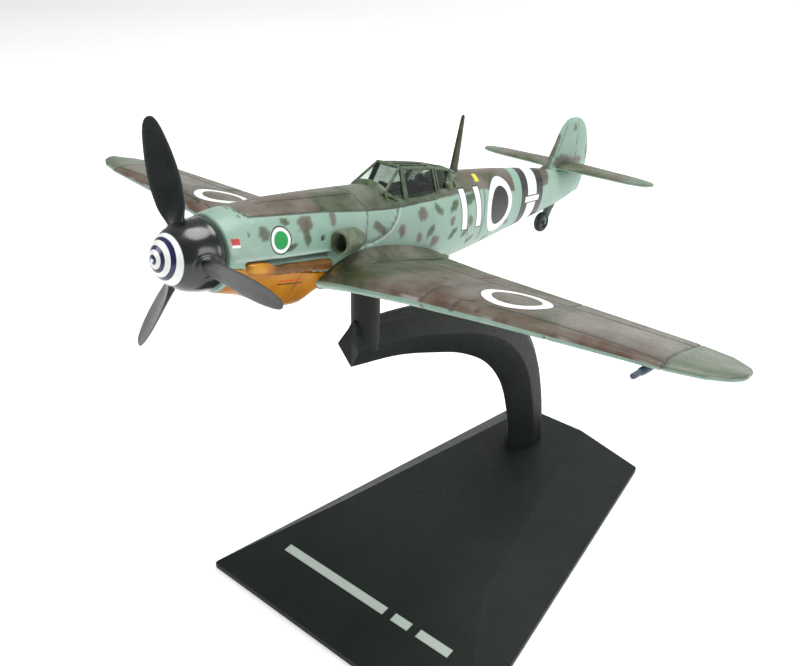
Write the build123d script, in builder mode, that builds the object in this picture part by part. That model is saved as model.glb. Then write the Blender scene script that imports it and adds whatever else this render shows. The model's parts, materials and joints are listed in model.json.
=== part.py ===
from build123d import *
from math import cos, sin, radians, pi
import os

os.makedirs("parts", exist_ok=True)

# Aircraft model at 1:72 on a display stand, in millimetres.
# +Z is up, the nose points along -Y, and +X is the aircraft's left wing.
# The origin is on the underside of the base, midway between the wing tips and
# midway between the spinner's tip and the rudder's rear edge.

# ---- stand ----
baseHeight = 5.4            # underside to the flat plateau
rimHeight = 1.5             # upright edge all round the base
footY = 43.2                # centre of the arm's foot
baseFront, baseRear = footY - 80.0, footY + 15.3
frontLeft, frontRight = -27.6, 40.7
rearLeft, rearRight = -13.9, 27.0
bendFront = footY - 50.3           # where the plateau turns down to the front edge
bendLeft, bendRight = -17.8, 25.0
plateauRearLeft, plateauRearRight = -6.8, 10.2
baseWall = 1.6
padRadius, padHeight = 4.0, 0.8
socketDepth = 2.6           # how far the foot tongue sinks into the base
postY, postRadius = footY - 60.7, 2.7
postBottom = 58.6
spigotRadius, spigotTop = 1.9, 79.2
screwHeadRadius, screwHeadHeight = 2.6, 1.4
screwShankRadius, screwLength = 1.1, 9.0
screwY = footY + 1.0

# ---- aircraft ----
pitchUp = 8.95              # how far the model is displayed nose-up, degrees
bellyY, bellyZ = footY - 60.46, 73.88
bellyStation, bellyLevel = 48.0, -8.5
shoulderGap = 0.35          # between the post's shoulder and the belly
socketClearance = 0.06
skin = 1.1                  # wall of the fuselage halves
spinnerTip, spinnerBase, spinnerRadius = 2.5, 10.8, 5.45
noseStation = 11.3          # front of the fuselage, just behind the spinner
backplateThickness = 0.8
bladeStation, bladeReach = 7.9, 20.3
bladeStart = -2.5           # angle of the first blade from level
shaftRadius, bushRadius, bushLength = 0.75, 2.2, 6.0
runningGap = 0.03
halfSpan = 69.6
tailHalfSpan = 22.0
tailLevel = 6.8

# The aircraft is drawn level in its own frame: y runs aft from 2.5 mm ahead of
# the spinner, z is measured from the propeller shaft, and the whole is tipped
# nose-up about the belly.
tiltCos, tiltSin = cos(radians(pitchUp)), sin(radians(pitchUp))
sideways, aft, upward = (1, 0, 0), (0, tiltCos, -tiltSin), (0, tiltSin, tiltCos)


def shipPoint(x, y, z):
    dy, dz = y - bellyStation, z - bellyLevel
    return (x, bellyY + dy * tiltCos + dz * tiltSin, bellyZ - dy * tiltSin + dz * tiltCos)


def station(y, z=0.0):
    # cross-plane of the aircraft: local x to its left, local y up
    forward = tuple(-c for c in aft)
    return Plane(origin=shipPoint(0, y, z), x_dir=sideways, z_dir=forward)


def rib(x):
    # fore-and-aft plane at x: local x aft, local y up
    return Plane(origin=shipPoint(x, 0, 0), x_dir=aft, z_dir=sideways)


def deck(z):
    # plane parallel to the aircraft's own floor
    return Plane(origin=shipPoint(0, 0, z), x_dir=sideways, z_dir=upward)


midPlane = rib(0)


def save(part, label):
    part.label = label
    export_step(part, "parts/" + label + ".step")


# Fuselage shape: station, half width, top, bottom and squareness of the oval
fuselageRings = [
    (noseStation, 5.65, 5.75, -5.65, 2.0),
    (13.0, 5.95, 6.1, -6.1, 2.1),
    (20.0, 6.25, 6.9, -6.9, 2.2),
    (30.0, 6.45, 7.3, -7.9, 2.3),
    (42.0, 6.45, 7.5, -8.9, 2.3),
    (54.0, 6.25, 7.6, -9.4, 2.2),
    (66.0, 5.7, 8.3, -9.1, 2.1),
    (78.0, 4.9, 8.2, -7.7, 2.0),
    (92.0, 3.8, 7.6, -5.4, 2.0),
    (105.0, 2.6, 6.7, -3.3, 2.0),
    (115.0, 1.7, 5.9, -1.5, 2.0),
    (122.5, 0.8, 5.2, 0.5, 2.0),
]
ringPoints = 16


def ovalPoints(halfWidth, top, bottom, power, inset):
    middle, high = (top + bottom) / 2, (top - bottom) / 2 - inset
    wide = halfWidth - inset
    points = []
    for i in range(ringPoints):
        turn = 2 * pi * i / ringPoints
        c, s = cos(turn), sin(turn)
        x = wide * abs(c) ** (2 / power) * (1 if c >= 0 else -1)
        z = middle + high * abs(s) ** (2 / power) * (1 if s >= 0 else -1)
        points.append((x, z))
    return points


def fuselageLoft(rings, inset):
    with BuildPart() as body:
        for y, halfWidth, top, bottom, power in rings:
            with BuildSketch(station(y)):
                with BuildLine():
                    Spline(*ovalPoints(halfWidth, top, bottom, power, inset), periodic=True)
                make_face()
        loft()
    return body.part


# ---- wing: one casting through the belly, with both panels ----
# x, leading edge, trailing edge, height of the chord line, thickness
wingRibs = [
    (0.0, 29.6, 62.9, -6.6, 5.0),
    (6.2, 29.8, 61.2, -6.0, 4.7),
    (10.0, 30.4, 59.4, -5.5, 4.2),
    (20.0, 32.4, 56.8, -4.8, 3.7),
    (34.0, 34.1, 54.4, -3.9, 3.1),
    (50.0, 35.2, 51.6, -2.9, 2.3),
    (60.0, 35.8, 49.9, -2.3, 1.8),
    (65.5, 37.2, 48.3, -2.0, 1.5),
    (68.6, 39.0, 45.9, -1.75, 1.1),
    (halfSpan, 41.0, 43.6, -1.65, 0.7),
]


def airfoilPoints(front, rear, level, thick):
    chord = rear - front
    upper = [(0.0, 0.0), (0.03, 0.30), (0.10, 0.50), (0.30, 0.62), (0.60, 0.42), (0.85, 0.20), (1.0, 0.09)]
    lower = [(1.0, -0.06), (0.85, -0.12), (0.60, -0.26), (0.30, -0.38), (0.10, -0.30), (0.03, -0.18)]
    points = []
    for along, height in upper + lower:
        points.append((front + chord * along, level + thick * height))
    return points


with BuildPart() as panel:
    for x, front, rear, level, thick in wingRibs:
        outline = airfoilPoints(front, rear, level, thick)
        with BuildSketch(rib(x)):
            with BuildLine():
                Spline(*outline[:7])
                Line(outline[6], outline[7])
                Spline(*outline[7:], outline[0])
            make_face()
    loft(ruled=True)

outerShape = fuselageLoft(fuselageRings, 0.0)
innerShape = fuselageLoft(fuselageRings, skin)

bellyFront, bellyRear, bellySplit = 33.0, 62.0, -5.8

# the belly between the panels follows the fuselage's own shape
with BuildPart() as belly:
    add(outerShape)
    with BuildSketch(deck(-20.0)):
        with Locations((0, (bellyFront + bellyRear) / 2)):
            Rectangle(20, bellyRear - bellyFront)
    extrude(amount=20 + bellySplit, mode=Mode.INTERSECT)

# raised fairing between fuselage and wing: station, height on the fuselage side
# and on the wing
fairingRings = [(31.5, -3.6, -4.3), (36.0, -1.8, -3.4), (42.0, -1.4, -3.0), (50.0, -2.2, -3.9), (57.0, -3.8, -5.0),
                (62.4, -5.9, -6.2)]
fairingInner, fairingEdge, fairingOuter = 4.6, 6.7, 9.6
with BuildPart() as fairing:
    for y, high, low in fairingRings:
        with BuildSketch(station(y)):
            with BuildLine():
                Polyline((fairingOuter, low - 0.5), (fairingInner, low - 0.5), (fairingInner, high), (fairingEdge, high))
                Spline((fairingEdge, high), (7.7, low + 0.45 * (high - low)), (fairingOuter, low - 0.5))
            make_face()
    loft(ruled=True)

with BuildPart() as wing:
    add(panel.part)
    add(fairing.part)
    mirror(about=midPlane)
    add(belly.part)
    # upright socket for the stand's spigot, with room for its bush
    with BuildSketch(Plane.XY.offset(60)):
        with Locations((0, postY)):
            Circle(spigotRadius + 1.3)
    extrude(amount=30, mode=Mode.SUBTRACT)
    # two screw holes through the belly
    with BuildSketch(deck(-20.0)):
        with Locations((0, 36.5), (0, 58.5)):
            Circle(1.0)
    extrude(amount=30, mode=Mode.SUBTRACT)
save(wing.part, "wing")

# ---- bush that takes the stand's spigot ----
with BuildPart() as socket:
    with BuildSketch(Plane.XY.offset(bellyZ + 0.6)):
        with Locations((0, postY)):
            Circle(spigotRadius + 1.3)
            Circle(spigotRadius + socketClearance, mode=Mode.SUBTRACT)
    extrude(amount=5.0)
save(socket.part, "stand_socket")

# ---- lower cowl: orange belly of the engine bay with the chin cooler ----
cowlFront, cowlRear = 11.9, 32.8
cowlHeightFront, cowlHeightRear = -0.9, -4.6
# chin cooler housing: station, half width, middle height, half height
chinRings = [(17.5, 2.6, -7.0, 0.8), (21.0, 4.0, -8.4, 1.7), (25.0, 4.5, -9.1, 2.2), (29.0, 4.4, -9.1, 1.9), (32.7, 4.2, -8.8, 0.9)]
with BuildPart() as chin:
    for y, halfWidth, middle, high in chinRings:
        with BuildSketch(station(y)):
            with Locations((0, middle)):
                Ellipse(halfWidth, high)
    loft()

with BuildPart() as lowerCowl:
    add(outerShape)
    with BuildSketch(rib(-10)):
        with BuildLine():
            Polyline(
                (cowlFront, cowlHeightFront),
                (cowlRear, cowlHeightRear),
                (cowlRear, -20),
                (cowlFront, -20),
                close=True,
            )
        make_face()
    extrude(amount=20, mode=Mode.INTERSECT)
    add(chin.part)
    # hollow inside the engine bay
    add(innerShape, mode=Mode.SUBTRACT)
    add(wing.part, mode=Mode.SUBTRACT)
save(lowerCowl.part, "lower_cowl")

# ---- fuselage shell, split down the middle into two castings ----
cockpitFront, cockpitRear, cockpitHalfWidth, cockpitFloor = 46.5, 66.5, 3.5, 0.4
with BuildPart() as shell:
    add(outerShape)
    add(innerShape, mode=Mode.SUBTRACT)
    with BuildSketch(rib(-10)):
        with BuildLine():
            Polyline(
                (cowlFront, cowlHeightFront),
                (cowlRear, cowlHeightRear),
                (cowlRear, -20),
                (cowlFront, -20),
                close=True,
            )
        make_face()
    extrude(amount=20, mode=Mode.SUBTRACT)
    add(wing.part, mode=Mode.SUBTRACT)
    with BuildSketch(deck(-20.0)):
        with Locations((0, (bellyFront + bellyRear) / 2)):
            Rectangle(20, bellyRear - bellyFront)
    extrude(amount=20 + bellySplit, mode=Mode.SUBTRACT)
    # cockpit opening
    with BuildSketch(deck(3.0)):
        with Locations((0, (cockpitFront + cockpitRear) / 2)):
            Rectangle(2 * cockpitHalfWidth, cockpitRear - cockpitFront)
    extrude(amount=12, mode=Mode.SUBTRACT)
    # bore in the nose for the shaft's bush
    with BuildSketch(station(noseStation - 1)):
        Circle(bushRadius)
    extrude(amount=-(bushLength + 2), mode=Mode.SUBTRACT)

finTop = 17.8
with BuildPart() as fin:
    with BuildSketch(rib(0)):
        with BuildLine():
            Polyline((103.5, 4.4), (106.6, 8.6), (110.2, 15.2))
            Spline((110.2, 15.2), (112.6, 17.4), (116.0, finTop), (119.6, 17.2), (122.4, 14.8))
            Spline((122.4, 14.8), (124.4, 10.5), (124.8, 6.2), (124.3, 3.2), (122.4, 0.7))
            Polyline((122.4, 0.7), (119.0, 1.6), (110.0, 3.0), (103.5, 4.4))
        make_face()
    extrude(amount=0.65, both=True)

# slot for the one-piece tailplane
tailSlotFront, tailSlotRear, tailSlotHigh = 109.4, 121.6, 1.5
with BuildPart() as tailBody:
    add(shell.part.solids().sort_by(SortBy.VOLUME)[-1])
    add(fin.part)
    with BuildSketch(rib(-10)):
        with Locations(((tailSlotFront + tailSlotRear) / 2, tailLevel)):
            Rectangle(tailSlotRear - tailSlotFront, tailSlotHigh)
    extrude(amount=20, mode=Mode.SUBTRACT)

with BuildPart() as leftHalf:
    add(tailBody.part)
    split(bisect_by=midPlane, keep=Keep.TOP)
save(leftHalf.part, "fuselage_left")

with BuildPart() as rightHalf:
    add(tailBody.part)
    split(bisect_by=midPlane, keep=Keep.BOTTOM)
save(rightHalf.part, "fuselage_right")

# ---- tailplane: one moulding through the slot in the fin ----
with BuildPart() as tailplane:
    with BuildSketch(deck(tailLevel - 0.55)):
        with BuildLine():
            Polyline((0, 109.6), (3.0, 109.6), (17.5, 111.0))
            Spline((17.5, 111.0), (20.6, 112.2), (tailHalfSpan, 114.6), (21.0, 117.4), (18.4, 118.8))
            Polyline((18.4, 118.8), (3.0, 121.3), (0, 121.3), (0, 109.6))
        make_face()
    extrude(amount=1.1)
    mirror(about=midPlane)
save(tailplane.part, "tailplane")

# ---- tail wheel, fixed ----
wheelStation, wheelLevel, wheelRadius, wheelHalfWidth = 108.7, -6.0, 2.3, 0.85
legHalf = 0.55
with BuildPart() as tailLeg:
    with BuildSketch(rib(0)):
        with BuildLine():
            Polyline((109.6, -2.2), (111.2, -2.0), (110.0, -5.2), (109.2, -6.6), (108.2, -6.6), (108.4, -5.2), close=True)
        make_face()
    extrude(amount=legHalf, both=True)
    # axle stubs either side
    with BuildSketch(rib(0)):
        with Locations((wheelStation, wheelLevel)):
            Circle(0.45)
    extrude(amount=wheelHalfWidth + 0.25, both=True)
    add(outerShape, mode=Mode.SUBTRACT)

with BuildPart() as tailTyre:
    with BuildSketch(rib(0)):
        with Locations((wheelStation, wheelLevel)):
            Circle(wheelRadius)
    extrude(amount=wheelHalfWidth, both=True)
    fillet(tailTyre.edges(), 0.45)
    add(tailLeg.part, mode=Mode.SUBTRACT)
save(tailTyre.part, "tail_wheel")
save(tailLeg.part, "tail_wheel_leg")

# ---- aerial mast: a tapered blade leaning aft ----
with BuildPart() as mast:
    with BuildSketch(deck(7.6)):
        with Locations((0, 70.5)):
            Ellipse(0.55, 1.3)
    with BuildSketch(deck(18.9)):
        with Locations((0, 71.3)):
            Ellipse(0.28, 0.45)
    loft()
    add(outerShape, mode=Mode.SUBTRACT)
save(mast.part, "antenna_mast")

# ---- pitot rod under the left wing tip ----
pitotX, pitotLevel = 58.0, -3.6
with BuildPart() as pitot:
    with BuildSketch(station(33.4, pitotLevel)):
        with Locations((pitotX, 0)):
            Circle(0.32)
    extrude(amount=-8.0)
    with BuildSketch(station(38.6)):
        with Locations((pitotX, pitotLevel + 0.75)):
            Rectangle(0.6, 1.8)
    extrude(amount=-2.6)
    add(panel.part, mode=Mode.SUBTRACT)
save(pitot.part, "pitot_tube")

# ---- coolers under the wing ----
coolerX, coolerFront, coolerRear, coolerHalf = 15.5, 45.0, 56.0, 5.2
with BuildPart() as coolers:
    for side in (-1, 1):
        with BuildSketch(rib(side * coolerX - coolerHalf)):
            with BuildLine():
                Polyline((coolerFront, -4.5), (coolerFront + 0.6, -8.0), (coolerRear - 3, -8.0), (coolerRear, -6.6),
                         (coolerRear, -4.5), close=True)
            make_face()
        extrude(amount=2 * coolerHalf)
    add(wing.part, mode=Mode.SUBTRACT)
    # air duct through each housing
    for side in (-1, 1):
        with BuildSketch(station(coolerFront - 2)):
            with Locations((side * coolerX, -7.2)):
                Rectangle(2 * coolerHalf - 1.4, 0.9)
        extrude(amount=-5.0, mode=Mode.SUBTRACT)
lowFaces = coolers.part.solids().filter_by(lambda solid: solid.center().Z < shipPoint(0, 50, -5.6)[2])
with BuildPart() as radiators:
    add(lowFaces)
save(radiators.part, "wing_radiators")

# ---- supercharger intake on the left of the nose ----
intakeRings = [(31.0, 8.25, 1.1, 2.0), (32.4, 8.2, 1.1, 2.1), (34.6, 7.6, 0.95, 2.05), (37.2, 6.2, 0.7, 1.6), (39.4, 5.0, 0.4, 0.9)]
with BuildPart() as intake:
    for y, x, z, radius in intakeRings:
        with BuildSketch(station(y)):
            with Locations((x, z)):
                Circle(radius)
    loft()
    with BuildSketch(station(31.0)):
        with Locations((8.25, 1.1)):
            Circle(1.5)
    extrude(amount=-2.4, taper=8, mode=Mode.SUBTRACT)
    add(outerShape, mode=Mode.SUBTRACT)
    add(wing.part, mode=Mode.SUBTRACT)
save(intake.part, "supercharger_intake")

# ---- exhaust covers along the top of the orange cowl ----
exhaustFront, exhaustRear = 15.2, 30.6
stubCount, stubHalf = 6, 1.05
for side, label in ((1, "exhaust_left"), (-1, "exhaust_right")):
    with BuildPart() as exhaust:
        with BuildSketch(rib(side * 5.2)):
            with BuildLine():
                Polyline((exhaustFront, -0.9), (exhaustRear, -2.2), (exhaustRear, -3.9), (exhaustFront, -2.3), close=True)
            make_face()
        extrude(amount=side * 1.95)
        stubPitch = (exhaustRear - exhaustFront) / stubCount
        for i in range(stubCount):
            middle = exhaustFront + (i + 0.5) * stubPitch
            with BuildSketch(rib(side * 7.15)):
                with Locations((middle, -1.7 - 1.4 * (i + 0.5) / stubCount)):
                    Rectangle(2 * stubHalf, 1.0)
            extrude(amount=side * 0.45)
        add(outerShape, mode=Mode.SUBTRACT)
        add(lowerCowl.part, mode=Mode.SUBTRACT)
    save(exhaust.part, label)

# ---- canopy: clear moulding with raised framing ----
canopySide = [(45.0, 4.0), (45.0, 6.9), (50.2, 10.75), (51.5, 11.0), (60.0, 10.3), (68.9, 8.6), (68.9, 4.0)]
canopyEnd = [(-4.35, 4.0), (-4.15, 6.6), (-2.75, 10.3), (-1.6, 10.85), (0, 11.0), (1.6, 10.85), (2.75, 10.3), (4.15, 6.6),
             (4.35, 4.0)]


def canopyBlock(inset):
    with BuildPart() as block:
        with BuildSketch(rib(-10)):
            with BuildLine():
                Polyline(*[(y, z - inset) for y, z in canopySide], close=True)
            make_face()
        extrude(amount=20)
        with BuildSketch(station(45.0 + inset)):
            with BuildLine():
                Polyline(*[(x * (1 - inset / 4.3), z - inset) for x, z in canopyEnd], close=True)
            make_face()
        extrude(amount=-(23.9 - 2 * inset), mode=Mode.INTERSECT)
    return block.part


frameDepth, paneDepth = 0.3, 0.75
canopyOuter, canopyPane, canopyInside = canopyBlock(0.0), canopyBlock(frameDepth), canopyBlock(paneDepth)

with BuildPart() as glazing:
    add(canopyPane)
    add(canopyInside, mode=Mode.SUBTRACT)
    add(outerShape, mode=Mode.SUBTRACT)
save(glazing.part, "canopy_glazing")

# frame members as bands: stations across, and rails along each upper corner
frameBands = [(45.0, 46.0), (50.2, 51.1), (54.9, 55.6), (59.6, 60.4), (62.6, 68.9)]
with BuildPart() as frameZone:
    for front, rear in frameBands:
        with BuildSketch(station(front)):
            with Locations((0, 8)):
                Rectangle(10, 12)
        extrude(amount=-(rear - front))
    for side in (-1, 1):
        with BuildSketch(station(45.0)):
            with Locations((side * 2.85, 10.3)):
                Rectangle(1.5, 1.1, rotation=side * -35)
            with Locations((side * 4.2, 5.4)):
                Rectangle(1.6, 1.2)
        extrude(amount=-23.9)
with BuildPart() as frame:
    add(canopyOuter)
    add(canopyPane, mode=Mode.SUBTRACT)
    add(frameZone.part, mode=Mode.INTERSECT)
    add(outerShape, mode=Mode.SUBTRACT)
save(frame.part, "canopy_frame")

# ---- cockpit ----
with BuildPart() as tub:
    with BuildSketch(deck(cockpitFloor)):
        with Locations((0, (cockpitFront + cockpitRear) / 2)):
            Rectangle(2 * cockpitHalfWidth, cockpitRear - cockpitFront)
    extrude(amount=5.0)
    with BuildSketch(deck(cockpitFloor + 0.6)):
        with Locations((0, (cockpitFront + cockpitRear) / 2)):
            Rectangle(2 * cockpitHalfWidth - 1.0, cockpitRear - cockpitFront - 1.0)
    extrude(amount=5.0, mode=Mode.SUBTRACT)
save(tub.part, "cockpit_tub")

seatStation, seatTop = 59.0, cockpitFloor + 0.6
with BuildPart() as seat:
    with BuildSketch(deck(seatTop)):
        with Locations((0, seatStation)):
            RectangleRounded(3.8, 3.8, 0.6)
    extrude(amount=1.6)
    with BuildSketch(deck(seatTop)):
        with Locations((0, seatStation + 2.3)):
            Rectangle(3.6, 0.9)
    extrude(amount=5.6)
save(seat.part, "pilot_seat")

with BuildPart() as panelBoard:
    with BuildSketch(station(48.4)):
        with Locations((0, 3.9)):
            RectangleRounded(5.8, 4.2, 0.9)
    extrude(amount=-0.7)
    # reflector sight on top
    with BuildSketch(deck(5.9)):
        with Locations((0.6, 48.75)):
            Rectangle(0.9, 0.7)
    extrude(amount=2.0)
save(panelBoard.part, "instrument_panel")

with BuildPart() as stick:
    with BuildSketch(deck(seatTop)):
        with Locations((0, 53.6)):
            Circle(0.35)
    extrude(amount=3.4)
    with BuildSketch(deck(seatTop + 3.2)):
        with Locations((0, 53.6)):
            Circle(0.55)
    extrude(amount=1.1)
save(stick.part, "control_stick")

with BuildPart() as headPlate:
    with BuildSketch(station(63.6)):
        with BuildLine():
            Polyline((-2.4, 5.4), (-2.2, 7.7), (-1.2, 8.3), (1.2, 8.3), (2.2, 7.7), (2.4, 5.4), close=True)
        make_face()
    extrude(amount=-0.8)
    add(outerShape, mode=Mode.SUBTRACT)
save(headPlate.part, "head_armour")

# ---- propeller ----
with BuildPart() as bush:
    with BuildSketch(station(noseStation)):
        Circle(bushRadius)
        Circle(shaftRadius + runningGap, mode=Mode.SUBTRACT)
    extrude(amount=-bushLength)
save(bush.part, "shaft_bush")

with BuildPart() as shaft:
    with BuildSketch(station(6.2)):
        Circle(shaftRadius)
    extrude(amount=-(noseStation + bushLength - 6.2 + 0.9))
    with BuildSketch(station(noseStation + bushLength + 0.35)):
        Circle(shaftRadius + 0.75)
    extrude(amount=-1.0)
save(shaft.part, "prop_shaft")

# hub and three blades moulded in one
hubRadius, hubFront, hubRear = 2.6, 6.2, 9.0
with BuildPart() as blade:
    # reach, chord, thickness and twist of each section
    for reach, chord, thick, twist in (
        (1.5, 2.3, 2.2, 30),
        (4.6, 2.4, 1.9, 32),
        (7.0, 4.0, 1.3, 34),
        (11.0, 4.9, 1.0, 30),
        (15.0, 4.4, 0.8, 26),
        (18.6, 3.0, 0.6, 23),
        (bladeReach - 0.1, 1.1, 0.4, 21),
    ):
        with BuildSketch(rib(reach)):
            with Locations(Location((bladeStation, 0), 90 + twist)):
                Ellipse(chord / 2, thick / 2)
    loft()
shipAxis = Axis(origin=shipPoint(0, 0, 0), direction=aft)
with BuildPart() as propeller:
    with BuildSketch(station(hubFront)):
        Circle(hubRadius)
    extrude(amount=-(hubRear - hubFront))
    for i in range(3):
        add(blade.part.rotate(shipAxis, -(120 * i + bladeStart)))
    with BuildSketch(station(hubFront)):
        Circle(shaftRadius)
    extrude(amount=-(hubRear - hubFront), mode=Mode.SUBTRACT)
save(propeller.part, "propeller_blades")

with BuildPart() as backplate:
    with BuildSketch(station(hubRear)):
        Circle(spinnerRadius - 0.6)
        Circle(shaftRadius, mode=Mode.SUBTRACT)
    extrude(amount=-(spinnerBase - hubRear))
save(backplate.part, "spinner_backplate")

with BuildPart() as spinner:
    with BuildSketch(rib(0)):
        with BuildLine():
            Spline((spinnerTip, 0), (spinnerTip + 0.5, 1.55), (spinnerTip + 1.9, 3.25), (spinnerTip + 4.2, 4.8),
                   (spinnerBase, spinnerRadius), tangents=[(0, 1), (1, 0.12)])
            Polyline((spinnerBase, spinnerRadius), (spinnerBase, 0), (spinnerTip, 0))
        make_face()
    revolve(axis=shipAxis)
    # hollow behind, around the hub
    with BuildSketch(station(5.2)):
        Circle(3.6)
    extrude(amount=-(hubRear - 5.2), mode=Mode.SUBTRACT)
    with BuildSketch(station(hubRear)):
        Circle(spinnerRadius - 0.6)
    extrude(amount=-(spinnerBase - hubRear + 0.5), mode=Mode.SUBTRACT)
    with BuildSketch(station(hubFront)):
        Circle(hubRadius)
    extrude(amount=-1.0, mode=Mode.SUBTRACT)
    add(propeller.part, mode=Mode.SUBTRACT)
    add(shaft.part, mode=Mode.SUBTRACT)
save(spinner.part, "spinner")

# ---- screws up through the belly ----
with BuildPart() as wingScrews:
    for y in (36.5, 58.5):
        with BuildSketch(deck(-9.6)):
            with Locations((0, y)):
                Circle(1.0)
        extrude(amount=4.6)
save(wingScrews.part, "wing_screws")

# ---- stand: faceted base ----
plateau = [
    (plateauRearLeft, baseRear),
    (plateauRearRight, baseRear),
    (bendRight, bendFront),
    (bendLeft, bendFront),
]
rim = [(rearLeft, baseRear), (rearRight, baseRear), (frontRight, baseFront), (frontLeft, baseFront)]


def facetedBase(inset, lower):
    # low rim below, plateau above, sloping facets between
    with BuildPart() as block:
        with BuildSketch(Plane.XY):
            with BuildLine():
                Polyline(*rim, close=True)
            make_face()
            if inset:
                offset(amount=-inset)
        extrude(amount=rimHeight - lower)
        with BuildSketch(Plane.XY.offset(rimHeight - lower)):
            with BuildLine():
                Polyline(*rim, close=True)
            make_face()
            if inset:
                offset(amount=-inset)
        with BuildSketch(Plane.XY.offset(baseHeight - lower)):
            with BuildLine():
                Polyline(*plateau, close=True)
            make_face()
            if inset:
                offset(amount=-inset)
        loft(ruled=True)
    return block.part


bossWide, bossLong = 9.4, 11.4
with BuildPart() as base:
    add(facetedBase(0, 0))
    add(facetedBase(baseWall, baseWall), mode=Mode.SUBTRACT)
    # boss that takes the arm's screw
    with BuildSketch(Plane.XY.offset(screwHeadHeight + 0.4)):
        with Locations((0, screwY)):
            Rectangle(bossWide, bossLong)
    extrude(amount=baseHeight - screwHeadHeight - 0.9)
    with BuildSketch(Plane.XY.offset(baseHeight - socketDepth)):
        with Locations((0, screwY)):
            Rectangle(6.4, 8.4)
    extrude(amount=socketDepth, mode=Mode.SUBTRACT)
    with BuildSketch(Plane.XY):
        with Locations((0, screwY)):
            Circle(screwShankRadius + 0.2)
    extrude(amount=baseHeight, mode=Mode.SUBTRACT)
save(base.part, "base_shell")

# ---- display arm: kite-section bar curving up and forward, with the post ----
# lower ridge (y, z) and upper ridge (y, z) from the foot, half width, width share
# at the shoulder
armSections = [
    ((-6.2, 0.0), (6.3, 0.0), 4.1, 0.97),
    ((-6.3, 5.8), (6.0, 5.8), 4.0, 0.97),
    ((-8.3, 14.3), (4.3, 17.0), 3.9, 0.92),
    ((-11.9, 23.1), (0.6, 28.2), 3.85, 0.85),
    ((-18.6, 31.4), (-7.0, 38.6), 3.8, 0.75),
    ((-28.6, 38.2), (-18.6, 46.8), 3.7, 0.62),
    ((-40.4, 43.3), (-32.5, 52.4), 3.4, 0.5),
    ((-50.3, 46.9), (-45.6, 56.3), 3.1, 0.42),
    ((-64.7, 50.3), (-63.9, 59.5), 2.62, 0.34),
]
creaseShare, shoulderShare = 0.48, 0.84
with BuildPart() as arm:
    for low, high, halfWidth, shoulder in armSections:
        depth = ((high[0] - low[0]) ** 2 + (high[1] - low[1]) ** 2) ** 0.5
        across = ((high[0] - low[0]) / depth, (high[1] - low[1]) / depth)
        section = Plane(
            origin=(0, footY + low[0], low[1] + baseHeight),
            x_dir=(1, 0, 0),
            z_dir=(0, -across[1], across[0]),
        )
        with BuildSketch(section):
            with BuildLine():
                Polyline(
                    (0, 0),
                    (halfWidth, creaseShare * depth),
                    (shoulder * halfWidth, shoulderShare * depth),
                    (shoulder * halfWidth * 0.45, depth),
                    (-shoulder * halfWidth * 0.45, depth),
                    (-shoulder * halfWidth, shoulderShare * depth),
                    (-halfWidth, creaseShare * depth),
                    close=True,
                )
            make_face()
    loft(ruled=True)
    # tongue down into the base
    with BuildSketch(Plane.XY.offset(baseHeight - socketDepth + 0.05)):
        with Locations((0, screwY)):
            Rectangle(6.2, 8.2)
    extrude(amount=socketDepth)
    # round post up to the belly, its shoulder cut to the aircraft's slope
    with BuildSketch(Plane.XY.offset(postBottom)):
        with Locations((0, postY)):
            Circle(postRadius)
    extrude(amount=30)
    with BuildSketch(deck(bellyLevel - shoulderGap - 1.0)):
        with Locations((0, bellyStation)):
            Rectangle(20, 30)
    extrude(amount=40, mode=Mode.SUBTRACT)
    with BuildSketch(Plane.XY.offset(postBottom)):
        with Locations((0, postY)):
            Circle(spigotRadius)
    extrude(amount=spigotTop - postBottom)
    # pilot hole for the screw
    with BuildSketch(Plane.XY):
        with Locations((0, screwY)):
            Circle(screwShankRadius)
    extrude(amount=screwLength + 1.5, mode=Mode.SUBTRACT)
save(arm.part, "display_arm")

with BuildPart() as armScrew:
    with BuildSketch(Plane.XY.offset(0.4)):
        with Locations((0, screwY)):
            Circle(screwHeadRadius)
    extrude(amount=screwHeadHeight)
    with BuildSketch(Plane.XY.offset(0.4)):
        with Locations((0, screwY)):
            Circle(screwShankRadius)
    extrude(amount=screwLength)
save(armScrew.part, "arm_screw")
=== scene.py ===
import json
import math
import bpy
import bmesh
import numpy as np
from mathutils import Matrix


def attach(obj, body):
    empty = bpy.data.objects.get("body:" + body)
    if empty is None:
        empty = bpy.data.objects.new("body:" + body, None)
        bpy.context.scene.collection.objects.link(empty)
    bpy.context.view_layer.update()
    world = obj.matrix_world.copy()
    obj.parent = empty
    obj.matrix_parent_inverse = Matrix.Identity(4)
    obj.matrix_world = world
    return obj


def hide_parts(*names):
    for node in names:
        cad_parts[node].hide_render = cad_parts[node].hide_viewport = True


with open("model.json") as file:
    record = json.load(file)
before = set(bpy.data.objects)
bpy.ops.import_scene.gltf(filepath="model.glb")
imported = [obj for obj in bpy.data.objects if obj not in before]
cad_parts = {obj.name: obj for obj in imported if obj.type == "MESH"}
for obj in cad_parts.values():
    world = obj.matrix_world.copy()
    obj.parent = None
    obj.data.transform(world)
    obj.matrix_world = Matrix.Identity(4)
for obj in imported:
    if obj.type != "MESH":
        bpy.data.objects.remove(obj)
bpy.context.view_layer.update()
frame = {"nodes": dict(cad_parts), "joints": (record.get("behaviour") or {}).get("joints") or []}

# The aircraft's own axes: y aft along the propeller shaft, z up from it, x to the left wing, all in mm.
# They come from the propeller's joint, whose axis points forward at station 8.
spin = [j for j in frame["joints"] if j["name"] == "propeller_spin"][0]
shaftPoint = np.array(spin["pos_m"]) * 1000
aftWay = -np.array(spin["axis"])
upWay = np.array([0.0, -aftWay[2], aftWay[1]])
noseUp = math.atan2(-aftWay[2], aftWay[1])
hubStation = 8.0


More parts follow.
